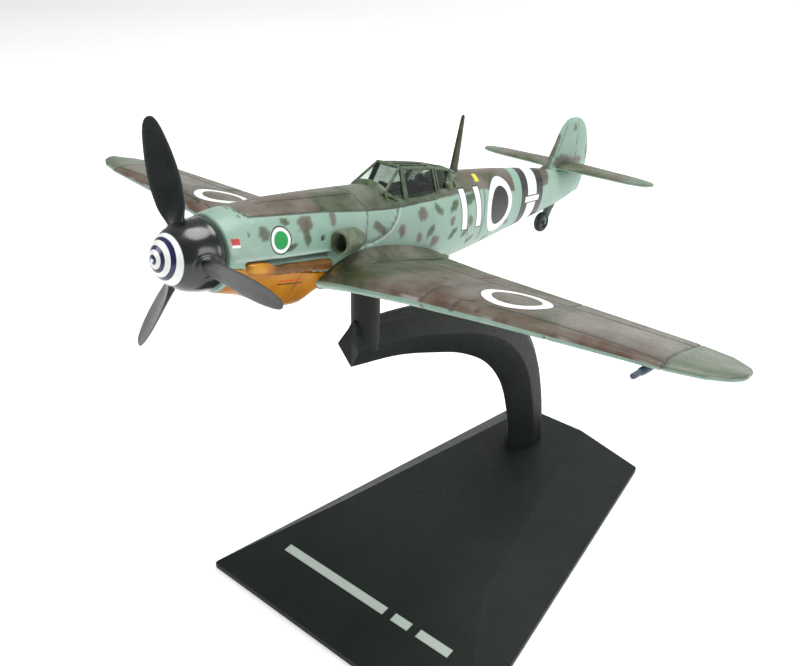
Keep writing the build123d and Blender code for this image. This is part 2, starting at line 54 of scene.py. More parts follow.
def shipToFrame(points):
    # straight change of axes, mm to metres
    p = np.asarray(points, float)
    out = shaftPoint + (p[..., 1:2] - hubStation) * aftWay + p[..., 2:3] * upWay
    out[..., 0] += p[..., 0]
    return out / 1000


def standToFrame(points):
    # the stand already uses the frame's axes, only in mm
    return np.asarray(points, float) / 1000


def flow(at, knots, values):
    # cubic between knots, whose slope at each knot comes from its neighbours
    knots, values = np.asarray(knots, float), np.asarray(values, float)
    slopes = np.gradient(values, knots, axis=0)
    i = np.clip(np.searchsorted(knots, at, side="right") - 1, 0, len(knots) - 2)
    step = knots[i + 1] - knots[i]
    t = np.clip((at - knots[i]) / step, 0, 1)
    if values.ndim > 1:
        step, t = step[:, None], t[:, None]
    return (
        (2 * t**3 - 3 * t**2 + 1) * values[i]
        + (t**3 - 2 * t**2 + t) * step * slopes[i]
        + (3 * t**2 - 2 * t**3) * values[i + 1]
        + (t**3 - t**2) * step * slopes[i + 1]
    )


def ease(value, low, high):
    # smooth step from 0 at low to 1 at high
    t = np.clip((value - low) / (high - low), 0, 1)
    return t * t * (3 - 2 * t)


def nearLines(points, lines, width):
    # share from 1 on a polyline to 0 at width from it, straight distance to each stretch
    flat = points.reshape(-1, 3).astype(np.float32)
    best = np.full(len(flat), 1e9, np.float32)
    for line in lines:
        line = np.asarray(line, np.float32)
        for a, b in zip(line[:-1], line[1:]):
            way = b - a
            t = np.clip(((flat - a) @ way) / max(float(way @ way), 1e-9), 0, 1)
            away = flat - a - t[:, None] * way
            best = np.minimum(best, np.einsum("ij,ij->i", away, away))
    return (1 - ease(np.sqrt(best), 0, width)).reshape(points.shape[:-1])


paintDepth = 1.16       # above one every paint turns out a little deeper than its screen colour


def linear(r, g, b):
    # screen colour, 0 to 255, to a shader colour
    c = np.array([r, g, b]) / 255
    c = np.where(c <= 0.04045, c / 12.92, ((c + 0.055) / 1.055) ** 2.4) ** paintDepth
    return (float(c[0]), float(c[1]), float(c[2]), 1.0)


def tone3(key):
    # a paint as a plain array, for the colours kept on the points
    return np.array(paint[key][:3])


def makePiece(name, patches, material, body, replaced=(), sharp=40):
    # each patch is a grid of points whose neighbours join in fours; a cap is a fan to its end ring's mean
    verts, faces, start = [], [], 0
    layers = {key: [] for patch in patches for key in patch.get("layers", {})}
    for patch in patches:
        grid = patch["points"]
        rows, cols = grid.shape[:2]
        index = np.arange(rows * cols).reshape(rows, cols) + start
        ring = np.concatenate([index, index[:, :1]], 1) if patch.get("wrap", True) else index
        quads = np.stack([ring[:-1, :-1], ring[:-1, 1:], ring[1:, 1:], ring[1:, :-1]], -1)
        faces += quads.reshape(-1, 4).tolist()
        verts.append(grid.reshape(-1, 3))
        for key in layers:
            layer = patch.get("layers", {}).get(key)
            layer = np.zeros(grid.shape[:2]) if layer is None else layer
            layers[key].append(layer.reshape(rows * cols, -1))
        start += rows * cols
        for end in patch.get("caps", (0, -1)):
            verts.append(grid[end].mean(0)[None])
            for key in layers:
                layers[key].append(layers[key][-1][-1:] * 0 + layers[key][-1].mean(0))
            fan = np.stack([ring[end][:-1], ring[end][1:], np.full(ring.shape[1] - 1, start)], -1)
            faces += fan.tolist()
            start += 1
    mesh = bpy.data.meshes.new(name)
    mesh.from_pydata(np.concatenate(verts).tolist(), [], faces)
    for key, parts in layers.items():
        values = np.concatenate(parts)
        if values.shape[1] == 1:
            data = mesh.attributes.new(key, "FLOAT", "POINT").data
            data.foreach_set("value", values.astype(np.float32).ravel())
        else:
            full = np.concatenate([values, np.ones((len(values), 1))], 1)
            data = mesh.attributes.new(key, "FLOAT_COLOR", "POINT").data
            data.foreach_set("color", full.astype(np.float32).ravel())
    work = bmesh.new()
    work.from_mesh(mesh)
    bmesh.ops.recalc_face_normals(work, faces=work.faces)
    work.to_mesh(mesh)
    work.free()
    mesh.shade_smooth()
    mesh.set_sharp_from_angle(angle=math.radians(sharp))
    piece = bpy.data.objects.new(name, mesh)
    bpy.context.scene.collection.objects.link(piece)
    mesh.materials.append(material)
    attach(piece, body)
    if replaced:
        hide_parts(*replaced)
    print(name, len(mesh.vertices), "points")
    return piece


class Mixer:
    # lays shader nodes in few words; every call gives back an output socket
    def __init__(self, name, ship=True):
        self.material = bpy.data.materials.new(name)
        self.material.use_nodes = True
        self.tree = self.material.node_tree
        self.tree.nodes.clear()
        self.shader = self.add("ShaderNodeBsdfPrincipled")
        output = self.add("ShaderNodeOutputMaterial")
        self.join(self.shader.outputs[0], output.inputs["Surface"])
        coords = self.add("ShaderNodeTexCoord")
        mapping = self.add("ShaderNodeMapping")
        mapping.inputs["Scale"].default_value = (1000, 1000, 1000)
        if ship:
            mapping.inputs["Rotation"].default_value = (noseUp, 0, 0)
            y, z = shaftPoint[1], shaftPoint[2]
            c, s = math.cos(noseUp), math.sin(noseUp)
            mapping.inputs["Location"].default_value = (0, hubStation - y * c + z * s, -y * s - z * c)
        self.join(coords.outputs["Object"], mapping.inputs["Vector"])
        self.place = mapping.outputs[0]
        split = self.add("ShaderNodeSeparateXYZ")
        self.join(self.place, split.inputs[0])
        self.x, self.y, self.z = split.outputs

    def add(self, kind):
        return self.tree.nodes.new(kind)

    def join(self, a, b):
        self.tree.links.new(a, b)

    def feed(self, socket, value):
        if isinstance(value, bpy.types.NodeSocket):
            self.join(value, socket)
        else:
            socket.default_value = value

    def sum(self, op, a, b=0.0, c=0.0):
        node = self.add("ShaderNodeMath")
        node.operation = op
        for socket, value in zip(node.inputs, (a, b, c)):
            self.feed(socket, value)
        return node.outputs[0]

    def fade(self, value, low, high):
        # smooth 0 at low to 1 at high, and the other way round when low is above high
        node = self.add("ShaderNodeMapRange")
        node.interpolation_type = "SMOOTHSTEP"
        ends = (low, high, 0, 1) if low < high else (high, low, 1, 0)
        self.feed(node.inputs[0], value)
        for socket, end in zip(node.inputs[1:5], ends):
            socket.default_value = end
        return node.outputs[0]

    def noise(self, scale, detail=3.0, stretch=None, rough=0.55):
        node = self.add("ShaderNodeTexNoise")
        vector = self.place
        if stretch:
            mapping = self.add("ShaderNodeMapping")
            mapping.inputs["Scale"].default_value = stretch
            self.join(self.place, mapping.inputs["Vector"])
            vector = mapping.outputs[0]
        self.join(vector, node.inputs["Vector"])
        for key, value in (("Scale", scale), ("Detail", detail), ("Roughness", rough)):
            node.inputs[key].default_value = value
        return node.outputs[0]

    def layer(self, key, colour=False):
        node = self.add("ShaderNodeAttribute")
        node.attribute_name = key
        return node.outputs["Color" if colour else "Fac"]

    def mix(self, share, a, b, blend="MIX"):
        node = self.add("ShaderNodeMix")
        node.data_type = "RGBA"
        node.blend_type = blend
        self.feed(node.inputs[0], share)
        self.feed(node.inputs[6], a)
        self.feed(node.inputs[7], b)
        return node.outputs[2]

    def band(self, value, low, high, soft=0.12):
        # 1 between low and high
        rise, fall = self.fade(value, low - soft, low + soft), self.fade(value, high + soft, high - soft)
        return self.sum("MULTIPLY", rise, fall)

    def reach(self, y, z, middleY, middleZ, stretch=1.0):
        # distance in the plane from a middle
        a = self.sum("SUBTRACT", y, middleY)
        b = self.sum("MULTIPLY", self.sum("SUBTRACT", z, middleZ), stretch)
        return self.sum("SQRT", self.sum("ADD", self.sum("MULTIPLY", a, a), self.sum("MULTIPLY", b, b)))

    def finish(self, colour, roughLow=0.4, roughHigh=0.55, grain=6.0, bump=0.15, metal=0.0, coat=0.0,
               specular=0.5):
        # roughness wanders between its two values and a fine grain lifts the surface
        self.feed(self.shader.inputs["Base Color"], colour)
        wander = self.noise(grain * 0.35, 4)
        rough = self.add("ShaderNodeMapRange")
        self.join(wander, rough.inputs[0])
        for socket, end in zip(rough.inputs[1:5], (0.3, 0.7, roughLow, roughHigh)):
            socket.default_value = end
        self.join(rough.outputs[0], self.shader.inputs["Roughness"])
        node = self.add("ShaderNodeBump")
        node.inputs["Strength"].default_value = bump
        node.inputs["Distance"].default_value = 0.00008
        self.join(self.noise(grain, 3), node.inputs["Height"])
        self.join(node.outputs[0], self.shader.inputs["Normal"])
        self.shader.inputs["Metallic"].default_value = metal
        self.shader.inputs["Coat Weight"].default_value = coat
        self.shader.inputs["Coat Roughness"].default_value = 0.15
        self.shader.inputs["Specular IOR Level"].default_value = specular
        return self.material


def worn(mixer, colour, seams=True, spread=0.18):
    # cloudy tone, dust speckle, dark washes along the engraved lines together with painted shade in the slot
    # under the exhaust ledge and inside the intake and cooler mouths, then pale marks: rubbed paint on the
    # wing's leading edge, a pale line by the rivet groove and a painted highlight along the exhaust ledge
    cloud = mixer.fade(mixer.noise(0.22, 5), 0.3, 0.72)
    colour = mixer.mix(mixer.sum("MULTIPLY", cloud, spread), colour, (0.55, 0.56, 0.5, 1))
    dirt = mixer.fade(mixer.noise(0.8, 6, None, 0.7), 0.56, 0.75)
    colour = mixer.mix(mixer.sum("MULTIPLY", dirt, 0.22), colour, (0.05, 0.055, 0.045, 1))
    if seams:
        # dark engraved lines, and painted shade in the slot under the exhaust ledge and inside the intake and
        # cooler mouths
        colour = mixer.mix(mixer.sum("MULTIPLY", mixer.layer("seamAndShade"), 0.8), colour, (0.018, 0.022, 0.018, 1))
        # pale marks, with a painted highlight along the ledge above the exhaust
        colour = mixer.mix(mixer.sum("MULTIPLY", mixer.layer("rubAndHighlight"), 0.6), colour, (0.66, 0.72, 0.68, 1))
    return colour


# colours shared by the painted castings
paint = {
    "pale": linear(146, 176, 161),
    "green": linear(64, 77, 42),
    "brown": linear(96, 84, 70),
    "spotGreen": linear(64, 80, 40),
    "spotBrown": linear(98, 88, 74),
    "white": linear(240, 243, 240),
    "black": linear(30, 36, 32),
    "navy": linear(22, 28, 78),
    "badgeEdge": linear(18, 30, 26),
    "badgeGreen": linear(42, 160, 92),
    "patchRed": linear(196, 60, 62),
    "patchYellow": linear(222, 212, 70),
    "rootYellow": linear(150, 128, 30),
    "warmBrown": linear(92, 62, 38),
    "mauve": linear(110, 103, 94),
    "tipGreen": linear(102, 114, 94),
}

# fuselage skin: both halves, with fin and rudder
fuselage = {
    # station, half width, top, bottom, squareness
    "rings": [
        (11.3, 5.65, 5.75, -5.65, 2.0), (13, 5.95, 6.1, -6.1, 2.1), (20, 6.25, 6.9, -6.9, 2.2),
        (30, 6.45, 7.3, -7.9, 2.3),
        (42, 6.45, 7.5, -8.9, 2.3), (54, 6.25, 7.6, -9.4, 2.2), (66, 5.7, 8.3, -9.1, 2.1),
        (78, 4.9, 8.2, -7.7, 2.0),
        (92, 3.8, 7.6, -5.4, 2.0), (105, 2.6, 6.7, -3.3, 2.0), (115, 1.7, 5.9, -1.5, 2.0),
        (122.5, 0.8, 5.2, 0.5, 1.7),
    ],
    "rowStep": 0.34, "around": 240, "bore": 2.3, "boreDepth": 5.0, "front": 11.3, "rear": 122.5,
    "seamDepth": 0.13, "seamWidth": 0.26, "slotDepth": 0.35, "holeDepth": 0.55, "underCowl": 0.7,
    "portHole": (6.3, 29.3, 1.65), "portHoleWidth": 0.62,
    "rivetGroove": [(48.9, 4.3), (47.7, 2.5), (45.9, 0.8), (43.7, -0.2), (41.2, -0.8), (38.2, -1.1)],
    "rivets": [(47.9, 3.9), (46.9, 2.6), (45.2, 1.4), (43.2, 0.4), (40.9, -0.2), (38.4, -0.3), (36.0, -0.6)],
    "rivetPitch": 1.15, "rivetWidth": 0.42,
    # station, height of the ledge above the exhaust
    "ledge": [(11.7, 0.1), (22.8, -0.35), (31.4, -0.62)],
    # station, height, size, how far each blister stands up
    "blisters": [(20.6, -0.0, 0.9, 0.22), (15.6, 1.1, 0.8, 0.2), (12.2, 1.0, 0.7, 0.15),
                 (16.9, 5.0, 0.6, 0.12)],
    "well": (46.4, 66.8, 3.75, -0.4),       # cockpit well: front, rear, half width, floor
    "cowl": (11.9, 32.8, -0.9, -4.6),       # lower cowl: front, rear, edge height at each
    "lines": [                              # station, height of engraved lines on the sides
        [(15.4, 6.2), (16.2, 5.7), (22.8, 5.6), (30.2, 5.4), (40.3, 4.7), (45.6, 4.5), (60.0, 4.8)],
        [(40.2, 4.8), (39.5, 2.2), (39.3, -1.4)],
        [(48.6, 4.6), (47.3, 2.7), (45.5, 1.1), (43.4, 0.1), (41.0, -0.5), (38.4, -0.7), (34.2, -1.1)],
        [(70.6, -2.6), (71.8, -4.8)],
        [(76.2, 5.4), (76.0, 0.0), (76.2, -5.0)],
        [(90.6, 6.0), (90.4, 0.0), (90.8, -4.6)],
        [(14.9, 5.9), (14.9, 3.5)],
    ],
    "deckLines": [                          # x, station on the top
        [(0.0, 14.9), (0.9, 15.0), (2.0, 15.5), (3.2, 16.2)],
        [(0.9, 19.6), (1.7, 25.9), (2.3, 33.0), (2.6, 38.8)],
        [(0.0, 38.3), (2.7, 38.9), (4.3, 39.2), (5.1, 40.2)],
        [(0.0, 70.4), (2.4, 70.6), (3.6, 71.0)],
    ],
    "edge": [(10, 9.0), (13.4, 9.0), (15.2, 6.6), (16.0, 5.7), (22.8, 5.6), (30.2, 5.45), (40.3, 4.7),
             (47.7, 4.3),
             (60.4, 4.9), (66.3, 5.0), (76.3, 5.2), (84.1, 4.1), (88, 3.7), (91, 3.5), (104, 3.6), (106, 8),
             (123, 9)],
    # station, height, half length, half height, lean, green share
    "spots": [
        (17.7, 3.5, 0.8, 0.7, 0, 0.8), (22.0, 4.8, 0.55, 0.5, 0, 1), (25.6, 4.1, 1.05, 0.8, 0, 0),
        (26.6, 4.2, 0.6, 0.7, 0, 0),
        (25.9, 2.2, 0.55, 1.0, 0.2, 1), (31.9, 4.4, 0.5, 0.95, -0.3, 0), (22.5, 1.0, 0.9, 0.35, 0.3, 0.8),
        (43.1, 1.5, 1.5, 0.55, -0.5, 0.6), (42.2, 2.3, 0.5, 0.5, 0, 0), (55.0, 2.7, 1.0, 0.85, 0, 0),
        (60.0, 3.0, 1.1, 0.5, -0.7, 1),
        (65.2, 3.2, 1.2, 0.6, 0.6, 1), (64.6, 0.4, 0.55, 0.7, -0.3, 0), (48.8, 0.5, 0.65, 0.95, 0.4, 0),
        (54.1, -1.4, 0.65, 0.7, 0.4, 0), (57.6, -0.6, 1.1, 0.6, 0.7, 1), (59.3, -2.7, 0.9, 0.8, 0.3, 0),
        (65.2, -2.1, 1.2, 0.5, 0.7, 1), (69.7, -2.4, 1.1, 0.5, 0.8, 1), (71.1, -0.3, 0.7, 0.8, 0.2, 1),
        (72.5, -4.4, 1, 0.4, 0.5, 1),
        (79.6, -5.6, 0.9, 0.4, 0.5, 0.7), (52.2, -5.2, 0.8, 0.5, 0.5, 1), (86.8, -2.6, 0.7, 0.5, 0, 0.5),
        (70.5, 3.9, 1.6, 0.7, 0.3, 1),
    ],
}

ringTable = np.array(fuselage["rings"], float)


def ringAt(y):
    # the rings' values at any station, on smooth curves through them
    return flow(np.clip(y, ringTable[0, 0], ringTable[-1, 0]), ringTable[:, 0], ringTable[:, 1:]).T


def onOval(y, turn):
    # oval through four quarter points, with both terms raised to 2 over its squareness
    wide, top, low, power = [v[:, None] for v in ringAt(y)]
    c, s = np.cos(turn)[None], np.sin(turn)[None]
    x = wide * np.sign(c) * np.abs(c) ** (2 / power)
    z = (top + low) / 2 + (top - low) / 2 * np.sign(s) * np.abs(s) ** (2 / power)
    return np.stack([x, np.repeat(y[:, None], len(turn), 1), z], -1)


def sideX(y, z):
    # half width of the oval at a height
    wide, top, low, power = ringAt(np.atleast_1d(np.asarray(y, float)))
    share = np.clip(np.abs((np.atleast_1d(z) - (top + low) / 2) / ((top - low) / 2)), 0, 1) ** power
    return wide * np.clip(1 - share, 0, 1) ** (1 / power)


def topZ(y, x):
    # height of the oval's upper half at a distance from the middle
    wide, top, low, power = ringAt(np.atleast_1d(np.asarray(y, float)))
    share = np.clip(np.abs(np.atleast_1d(x) / wide), 0, 1) ** power
    return (top + low) / 2 + (top - low) / 2 * np.clip(1 - share, 0, 1) ** (1 / power)


def evenly(line, step=0.5):
    # extra points between a line's corners, so that it stays on the curved skin
    line = np.array(line, float)
    length = np.concatenate([[0], np.cumsum(np.hypot(*np.diff(line, axis=0).T))])
    at = np.linspace(0, length[-1], max(2, int(length[-1] / step)))
    return np.stack([np.interp(at, length, line[:, i]) for i in range(2)], 1)


def onSide(line):
    # stations and heights laid on the curved side
    return np.stack([sideX(line[:, 0], line[:, 1]), line[:, 0], line[:, 1]], 1)


def spotLine(point):
    # a line so short that what is near it is a round spot
    return np.stack([point, np.array(point) + [0, 0, 0.05]])


def skinLines():
    # every engraved line as points on the skin
    sides = [onSide(evenly(line, 1.0)) for line in fuselage["lines"]]
    decks = [evenly(line, 1.0) for line in fuselage["deckLines"]]
    return sides + [np.stack([a[:, 0], a[:, 1], topZ(a[:, 1], a[:, 0])], 1) for a in decks]


def ripple(a, b, size, seed):
    # sum of a few waves in different ways, about -1 to 1
    r = np.random.RandomState(seed)
    out = np.zeros(np.broadcast(a, b).shape)
    for k in range(7):
        way, scale, shift = r.uniform(0, math.pi), r.uniform(0.6, 1.9), r.uniform(0, 6.3)
        out += np.sin((a * math.cos(way) + b * math.sin(way)) * scale * 6.283 / size + shift) / 3.2
    return out


def fuselageCamo(points):
    x, y, z = points[..., 0], points[..., 1], points[..., 2]
    # pale sides with soft leaning spots, and a brown and green deck above a soft edge
    green, brown, spotGreen, spotBrown = (tone3(k) for k in ("green", "brown", "spotGreen", "spotBrown"))
    colour = np.ones(points.shape) * tone3("pale")
    yy = np.where(x < 0, y + 1.6, y)
    for sy, sz, ry, rz, lean, greenShare in fuselage["spots"]:
        dy, dz = yy - sy, z - sz
        a, b = dy * math.cos(lean) + dz * math.sin(lean), dz * math.cos(lean) - dy * math.sin(lean)
        away = np.sqrt((a / ry) ** 2 + (b / rz) ** 2) + 0.22 * ripple(y, z, 1.6, int(sy * 10))
        cover = (1 - ease(away / 1.3, 0.75, 1.3)) * 0.92 * (z < 5.2)
        tone = spotGreen * greenShare + spotBrown * (1 - greenShare)
        colour = colour * (1 - cover[..., None]) + tone * cover[..., None]
    edge = np.array(fuselage["edge"])
    line = np.interp(y, edge[:, 0], edge[:, 1]) + 0.12 * ripple(y, x, 3.0, 3) * (y > 48)
    soft = np.where(y < 46, 0.1, 0.35)
    deckShare = ease((z - line) / soft, -0.5, 0.5)
    ahead = 1 - ease(y + 0.5 * ripple(x, z, 4, 5), 30.0, 30.6)
    brownShare = np.maximum(ahead, ease(y + 0.8 * ripple(x, z, 4, 8), 69, 71.5))
    greenPatch = ease(ripple(x * 1.4, y, 17, 11), 0.25, 0.5) * (y > 66)
    brownShare = (brownShare * (1 - greenPatch))[..., None]
    tone = brown * brownShare + green * (1 - brownShare)
    colour = colour * (1 - deckShare[..., None]) + tone * deckShare[..., None]
    return colour


def stations(start, stop, step, extra=(), near=0.12):
    # even stations with a few more close to each sharp change
    base = np.arange(start, stop, step)
    more = [e + d for e in extra for d in (-2 * near, -near, 0.0, near, 2 * near)]
    return np.unique(np.round(np.concatenate([base, [stop], more]), 3))


def fuselagePatch():
    # ovals along the body, pressed in at grooves, slot and well and raised at ledge and blisters
    sharpAt = fuselage["cowl"][:2] + fuselage["well"][:2]
    y = stations(fuselage["front"] + 0.2, fuselage["rear"], fuselage["rowStep"], sharpAt, 0.1)
    y = y[y >= fuselage["front"] + 0.15]
    turn = np.linspace(0, 2 * math.pi, fuselage["around"], endpoint=False) + math.pi / fuselage["around"]
    skin = onOval(y, turn)
    mirrored = skin.copy()
    mirrored[..., 0] = np.abs(mirrored[..., 0])
    seamAndShade = nearLines(mirrored, skinLines(), fuselage["seamWidth"])
    # the curved rivet line behind the cowl has a pale line beside its groove
    rubAndHighlight = nearLines(mirrored, [onSide(evenly(fuselage["rivetGroove"], 0.4))], 0.24)
    dots = [spotLine(p) for p in onSide(evenly(fuselage["rivets"], fuselage["rivetPitch"]))]
    seamAndShade = np.maximum(seamAndShade, nearLines(mirrored, dots, fuselage["rivetWidth"]))
    hollow = nearLines(mirrored, [spotLine(fuselage["portHole"])], fuselage["portHoleWidth"])
    seamAndShade = np.maximum(seamAndShade, ease(hollow, 0.05, 0.3))
    camo = fuselageCamo(skin)
    _, top, low, _ = ringAt(y)
    middleZ = np.repeat(((top + low) / 2)[:, None], len(turn), 1)
    out = skin - np.stack([0 * skin[..., 0], skin[..., 1], middleZ], -1)
    out /= np.maximum(np.linalg.norm(out, axis=-1, keepdims=True), 1e-6)
    front, rear, high, below = fuselage["cowl"]
    cowlEdge = np.interp(skin[..., 1], (front, rear), (high, below))
    under = (skin[..., 1] > front) & (skin[..., 1] < rear) & (skin[..., 2] < cowlEdge)
    # ledge above the exhaust with a painted highlight along its top and a slot under it painted dark as
    # shadow, and little blisters on the cowl's shoulder
    ledge = skin[..., 2] - np.interp(skin[..., 1], *np.array(fuselage["ledge"]).T)
    inLedge = ease(skin[..., 1], 11.5, 12.2) * (1 - ease(skin[..., 1], 30.6, 31.4))
    lift = 0.2 * np.exp(-(((ledge - 0.15) / 0.22) ** 2)) * inLedge
    slot = ease(-ledge, 0.08, 0.2) * (1 - ease(-ledge, 0.7, 0.85)) * ease(skin[..., 1], 13.8, 14.4) * inLedge
    # the slot under the ledge is painted dark as shadow
    seamAndShade = np.maximum(seamAndShade, slot)
    # painted highlight along the ledge's top
    rubAndHighlight = np.maximum(rubAndHighlight, np.exp(-(((ledge - 0.15) / 0.2) ** 2)) * inLedge * 0.5)
    for by, bz, size, tall in fuselage["blisters"]:
        lift += tall * np.exp(-(((skin[..., 1] - by) / size) ** 2
                                + ((skin[..., 2] - bz) / (size * 0.7)) ** 2))
    shift = lift - fuselage["seamDepth"] * seamAndShade - fuselage["holeDepth"] * ease(hollow, 0.1, 0.6)
    shift = shift - fuselage["slotDepth"] * slot - fuselage["underCowl"] * under
    skin = skin + out * shift[..., None]
    # the cockpit well is the skin pressed straight down
    wellFront, wellRear, wellHalf, floor = fuselage["well"]
    inside = (y[:, None] > wellFront) & (y[:, None] < wellRear)
    inside = inside & (np.abs(skin[..., 0]) < wellHalf) & (skin[..., 2] > 1)
    skin[..., 2] = np.where(inside, floor, skin[..., 2])
    # rounded nose edge and the bore for the shaft's bush
    def noseRing(scale, at):
        ring = onOval(np.array([fuselage["front"]]), turn)[0] * [scale, 1, scale]
        ring[:, 1] = at
        return ring
    bore, at = fuselage["bore"] / ringTable[0, 1], fuselage["front"]
    lead = np.stack([noseRing(bore, at + fuselage["boreDepth"]), noseRing(bore, at + 0.02),
                     noseRing(bore * 1.02, at),
                     noseRing(0.965, at), noseRing(0.99, at + 0.06)])
    fill = lambda layer, value: np.concatenate([np.ones((len(lead),) + layer.shape[1:]) * value, layer])
    return {"points": shipToFrame(np.concatenate([lead, skin])),
            "layers": {"seamAndShade": fill(seamAndShade, 0.0), "rubAndHighlight": fill(rubAndHighlight, 0.0), "camo": fill(camo, tone3("pale"))}}


fin = {
    "front": [(0.7, 121.0), (1.6, 117.8), (3.0, 108.9), (4.4, 103.6), (8.6, 106.6), (12.0, 108.5),
              (15.2, 110.2),
              (16.6, 111.5), (17.4, 113.0), (17.72, 114.6), (17.8, 115.9)],
    "rear": [(0.7, 122.4), (1.6, 123.3), (3.0, 124.2), (4.4, 124.6), (8.6, 124.7), (12.0, 123.9),
             (15.2, 122.1),
             (16.6, 120.5), (17.4, 118.9), (17.72, 117.5), (17.8, 116.3)],
    "half": 0.68, "rows": 90, "around": 110, "seamDepth": 0.07, "seamWidth": 0.22,
    # height, share of the half thickness
    "taper": [(0.7, 1.0), (4, 1.0), (12, 0.8), (16.6, 0.6), (17.8, 0.25)],
    "smoothFrom": 4.4,                      # above this height the leading edge is a smooth curve
    # station, height, half length, half height, lean, green share
    "spots": [
        (105.4, 6.0, 2.2, 2.4, 0.5, 1), (107.4, 9.6, 1.2, 2.6, 0.45, 1), (109.3, 12.9, 0.7, 1.6, 0.45, 0.8),
        (112.5, 8.1, 4.2, 1.4, 0, 0.4), (115.9, 15.6, 0.8, 0.9, 0, 0.4), (111.5, 5.4, 1.6, 0.8, 0, 0.3),
        (123.9, 10.5, 0.7, 2.2, 0, 1), (118.6, 8.0, 3.0, 0.9, 0, 0.4), (117.6, 5.2, 1.1, 0.7, 0, 0.5),
        (121.8, 3.2, 1.4, 0.8, 0, 0.7),
    ],
    "lines": [[(118.6, 1.0), (118.4, 5.8)], [(118.2, 7.9), (117.2, 17.4)],
              [(109.5, 3.4), (108.7, 8.0), (112.2, 15.9)]],
}


def lens(turn):
    # closed section: share along the chord and share of the half thickness, blunt ahead and thin behind
    along = (1 - np.cos(turn)) / 2
    rounded = np.sqrt(np.clip(along, 0, 1)) * (1 - along) ** 0.75 * 2.05
    thick = rounded + 0.12 * np.sin(np.clip(along, 0, 1) * math.pi)
    thick = np.clip(thick + 0.1 * (along > 0.002) * (along < 0.999), 0, 1.02)
    return along, np.where(turn <= math.pi, 1, -1) * thick


def finPatch():
    # every height has a lens section from leading to trailing edge
    lowest, highest = fin["front"][0][0], fin["front"][-1][0]
    z = lowest + (highest - lowest) * np.sin(np.linspace(0, 1, fin["rows"]) * math.pi / 2)
    rows = np.array(fin["front"]), np.array(fin["rear"])
    front, rear = (np.interp(z, r[:, 0], r[:, 1]) for r in rows)
    front = np.where(z > fin["smoothFrom"], flow(z, rows[0][:, 0], rows[0][:, 1]), front)
    turn = np.linspace(0, 2 * math.pi, fin["around"], endpoint=False)
    along, thick = lens(turn)
    half = fin["half"] * np.interp(z, *np.array(fin["taper"]).T)
    y = front[:, None] + (rear - front)[:, None] * along[None]
    x = half[:, None] * thick[None]
    points = np.stack([x, y, np.repeat(z[:, None], len(turn), 1)], -1)
    flat = points * [0, 1, 1]
    seamAndShade = nearLines(flat, [[(0, a, b) for a, b in line] for line in fin["lines"]], fin["seamWidth"])
    points[..., 0] -= np.sign(points[..., 0]) * seamAndShade * fin["seamDepth"]
    colour = np.ones(points.shape) * tone3("pale") * 1.02
    green, brown = tone3("green"), tone3("brown")
    for sy, sz, ry, rz, lean, share in fin["spots"]:
        dy, dz = y - sy, points[..., 2] - sz
        a, b = dy * math.cos(lean) - dz * math.sin(lean), dz * math.cos(lean) + dy * math.sin(lean)
        away = np.sqrt((a / ry) ** 2 + (b / rz) ** 2) + 0.2 * ripple(y, points[..., 2], 2.4, int(sy))
        cover = (1 - ease(away, 0.65, 1.3)) * 0.88
        colour = colour * (1 - cover[..., None]) + (green * share + brown * (1 - share)) * cover[..., None]
    return {"points": shipToFrame(points), "layers": {"seamAndShade": seamAndShade, "rubAndHighlight": seamAndShade * 0, "camo": colour}}


markings = {
    # from, to
    "bands": [(88.6, 91.7, "pale"), (91.7, 94.6, "black"), (94.6, 98.7, "white"), (98.7, 101.8, "black")],
    "bandLean": 0.06, "tailHalf": 5.3,      # the bands stay inside this half width, off the tailplane
    "ring": (82.2, 1.4), "ringInner": 3.6, "ringOuter": 5.0, "ringFlat": 0.9,
    "bandBar": (93.4, 99.9, 0.75, 1.95),    # station from, to, height from, to
    "sideBars": (68.9, 74.1), "barLean": 0.16, "barMiddle": 2.0,
    "badge": (20.6, 2.3),
    "redPatch": (11.9, 13.2, 2.1, 3.3), "whitePatch": (11.9, 13.2, 2.1, 2.45),
    "yellowPatch": (74.0, 75.4, 6.6, 7.8),
    "wingRings": [(34.3, 42.9), (-34.3, 42.9)], "wingRingInner": 3.9, "wingRingOuter": 5.5,
    "wingRingEdge": 0.25,
}


def block(m, box, grow=0.0, soft=0.06):
    # 1 inside a box of station and height
    y0, y1, z0, z1 = box
    return m.sum("MULTIPLY", m.band(m.y, y0 - grow, y1 + grow, soft), m.band(m.z, z0 - grow, z1 + grow, soft))


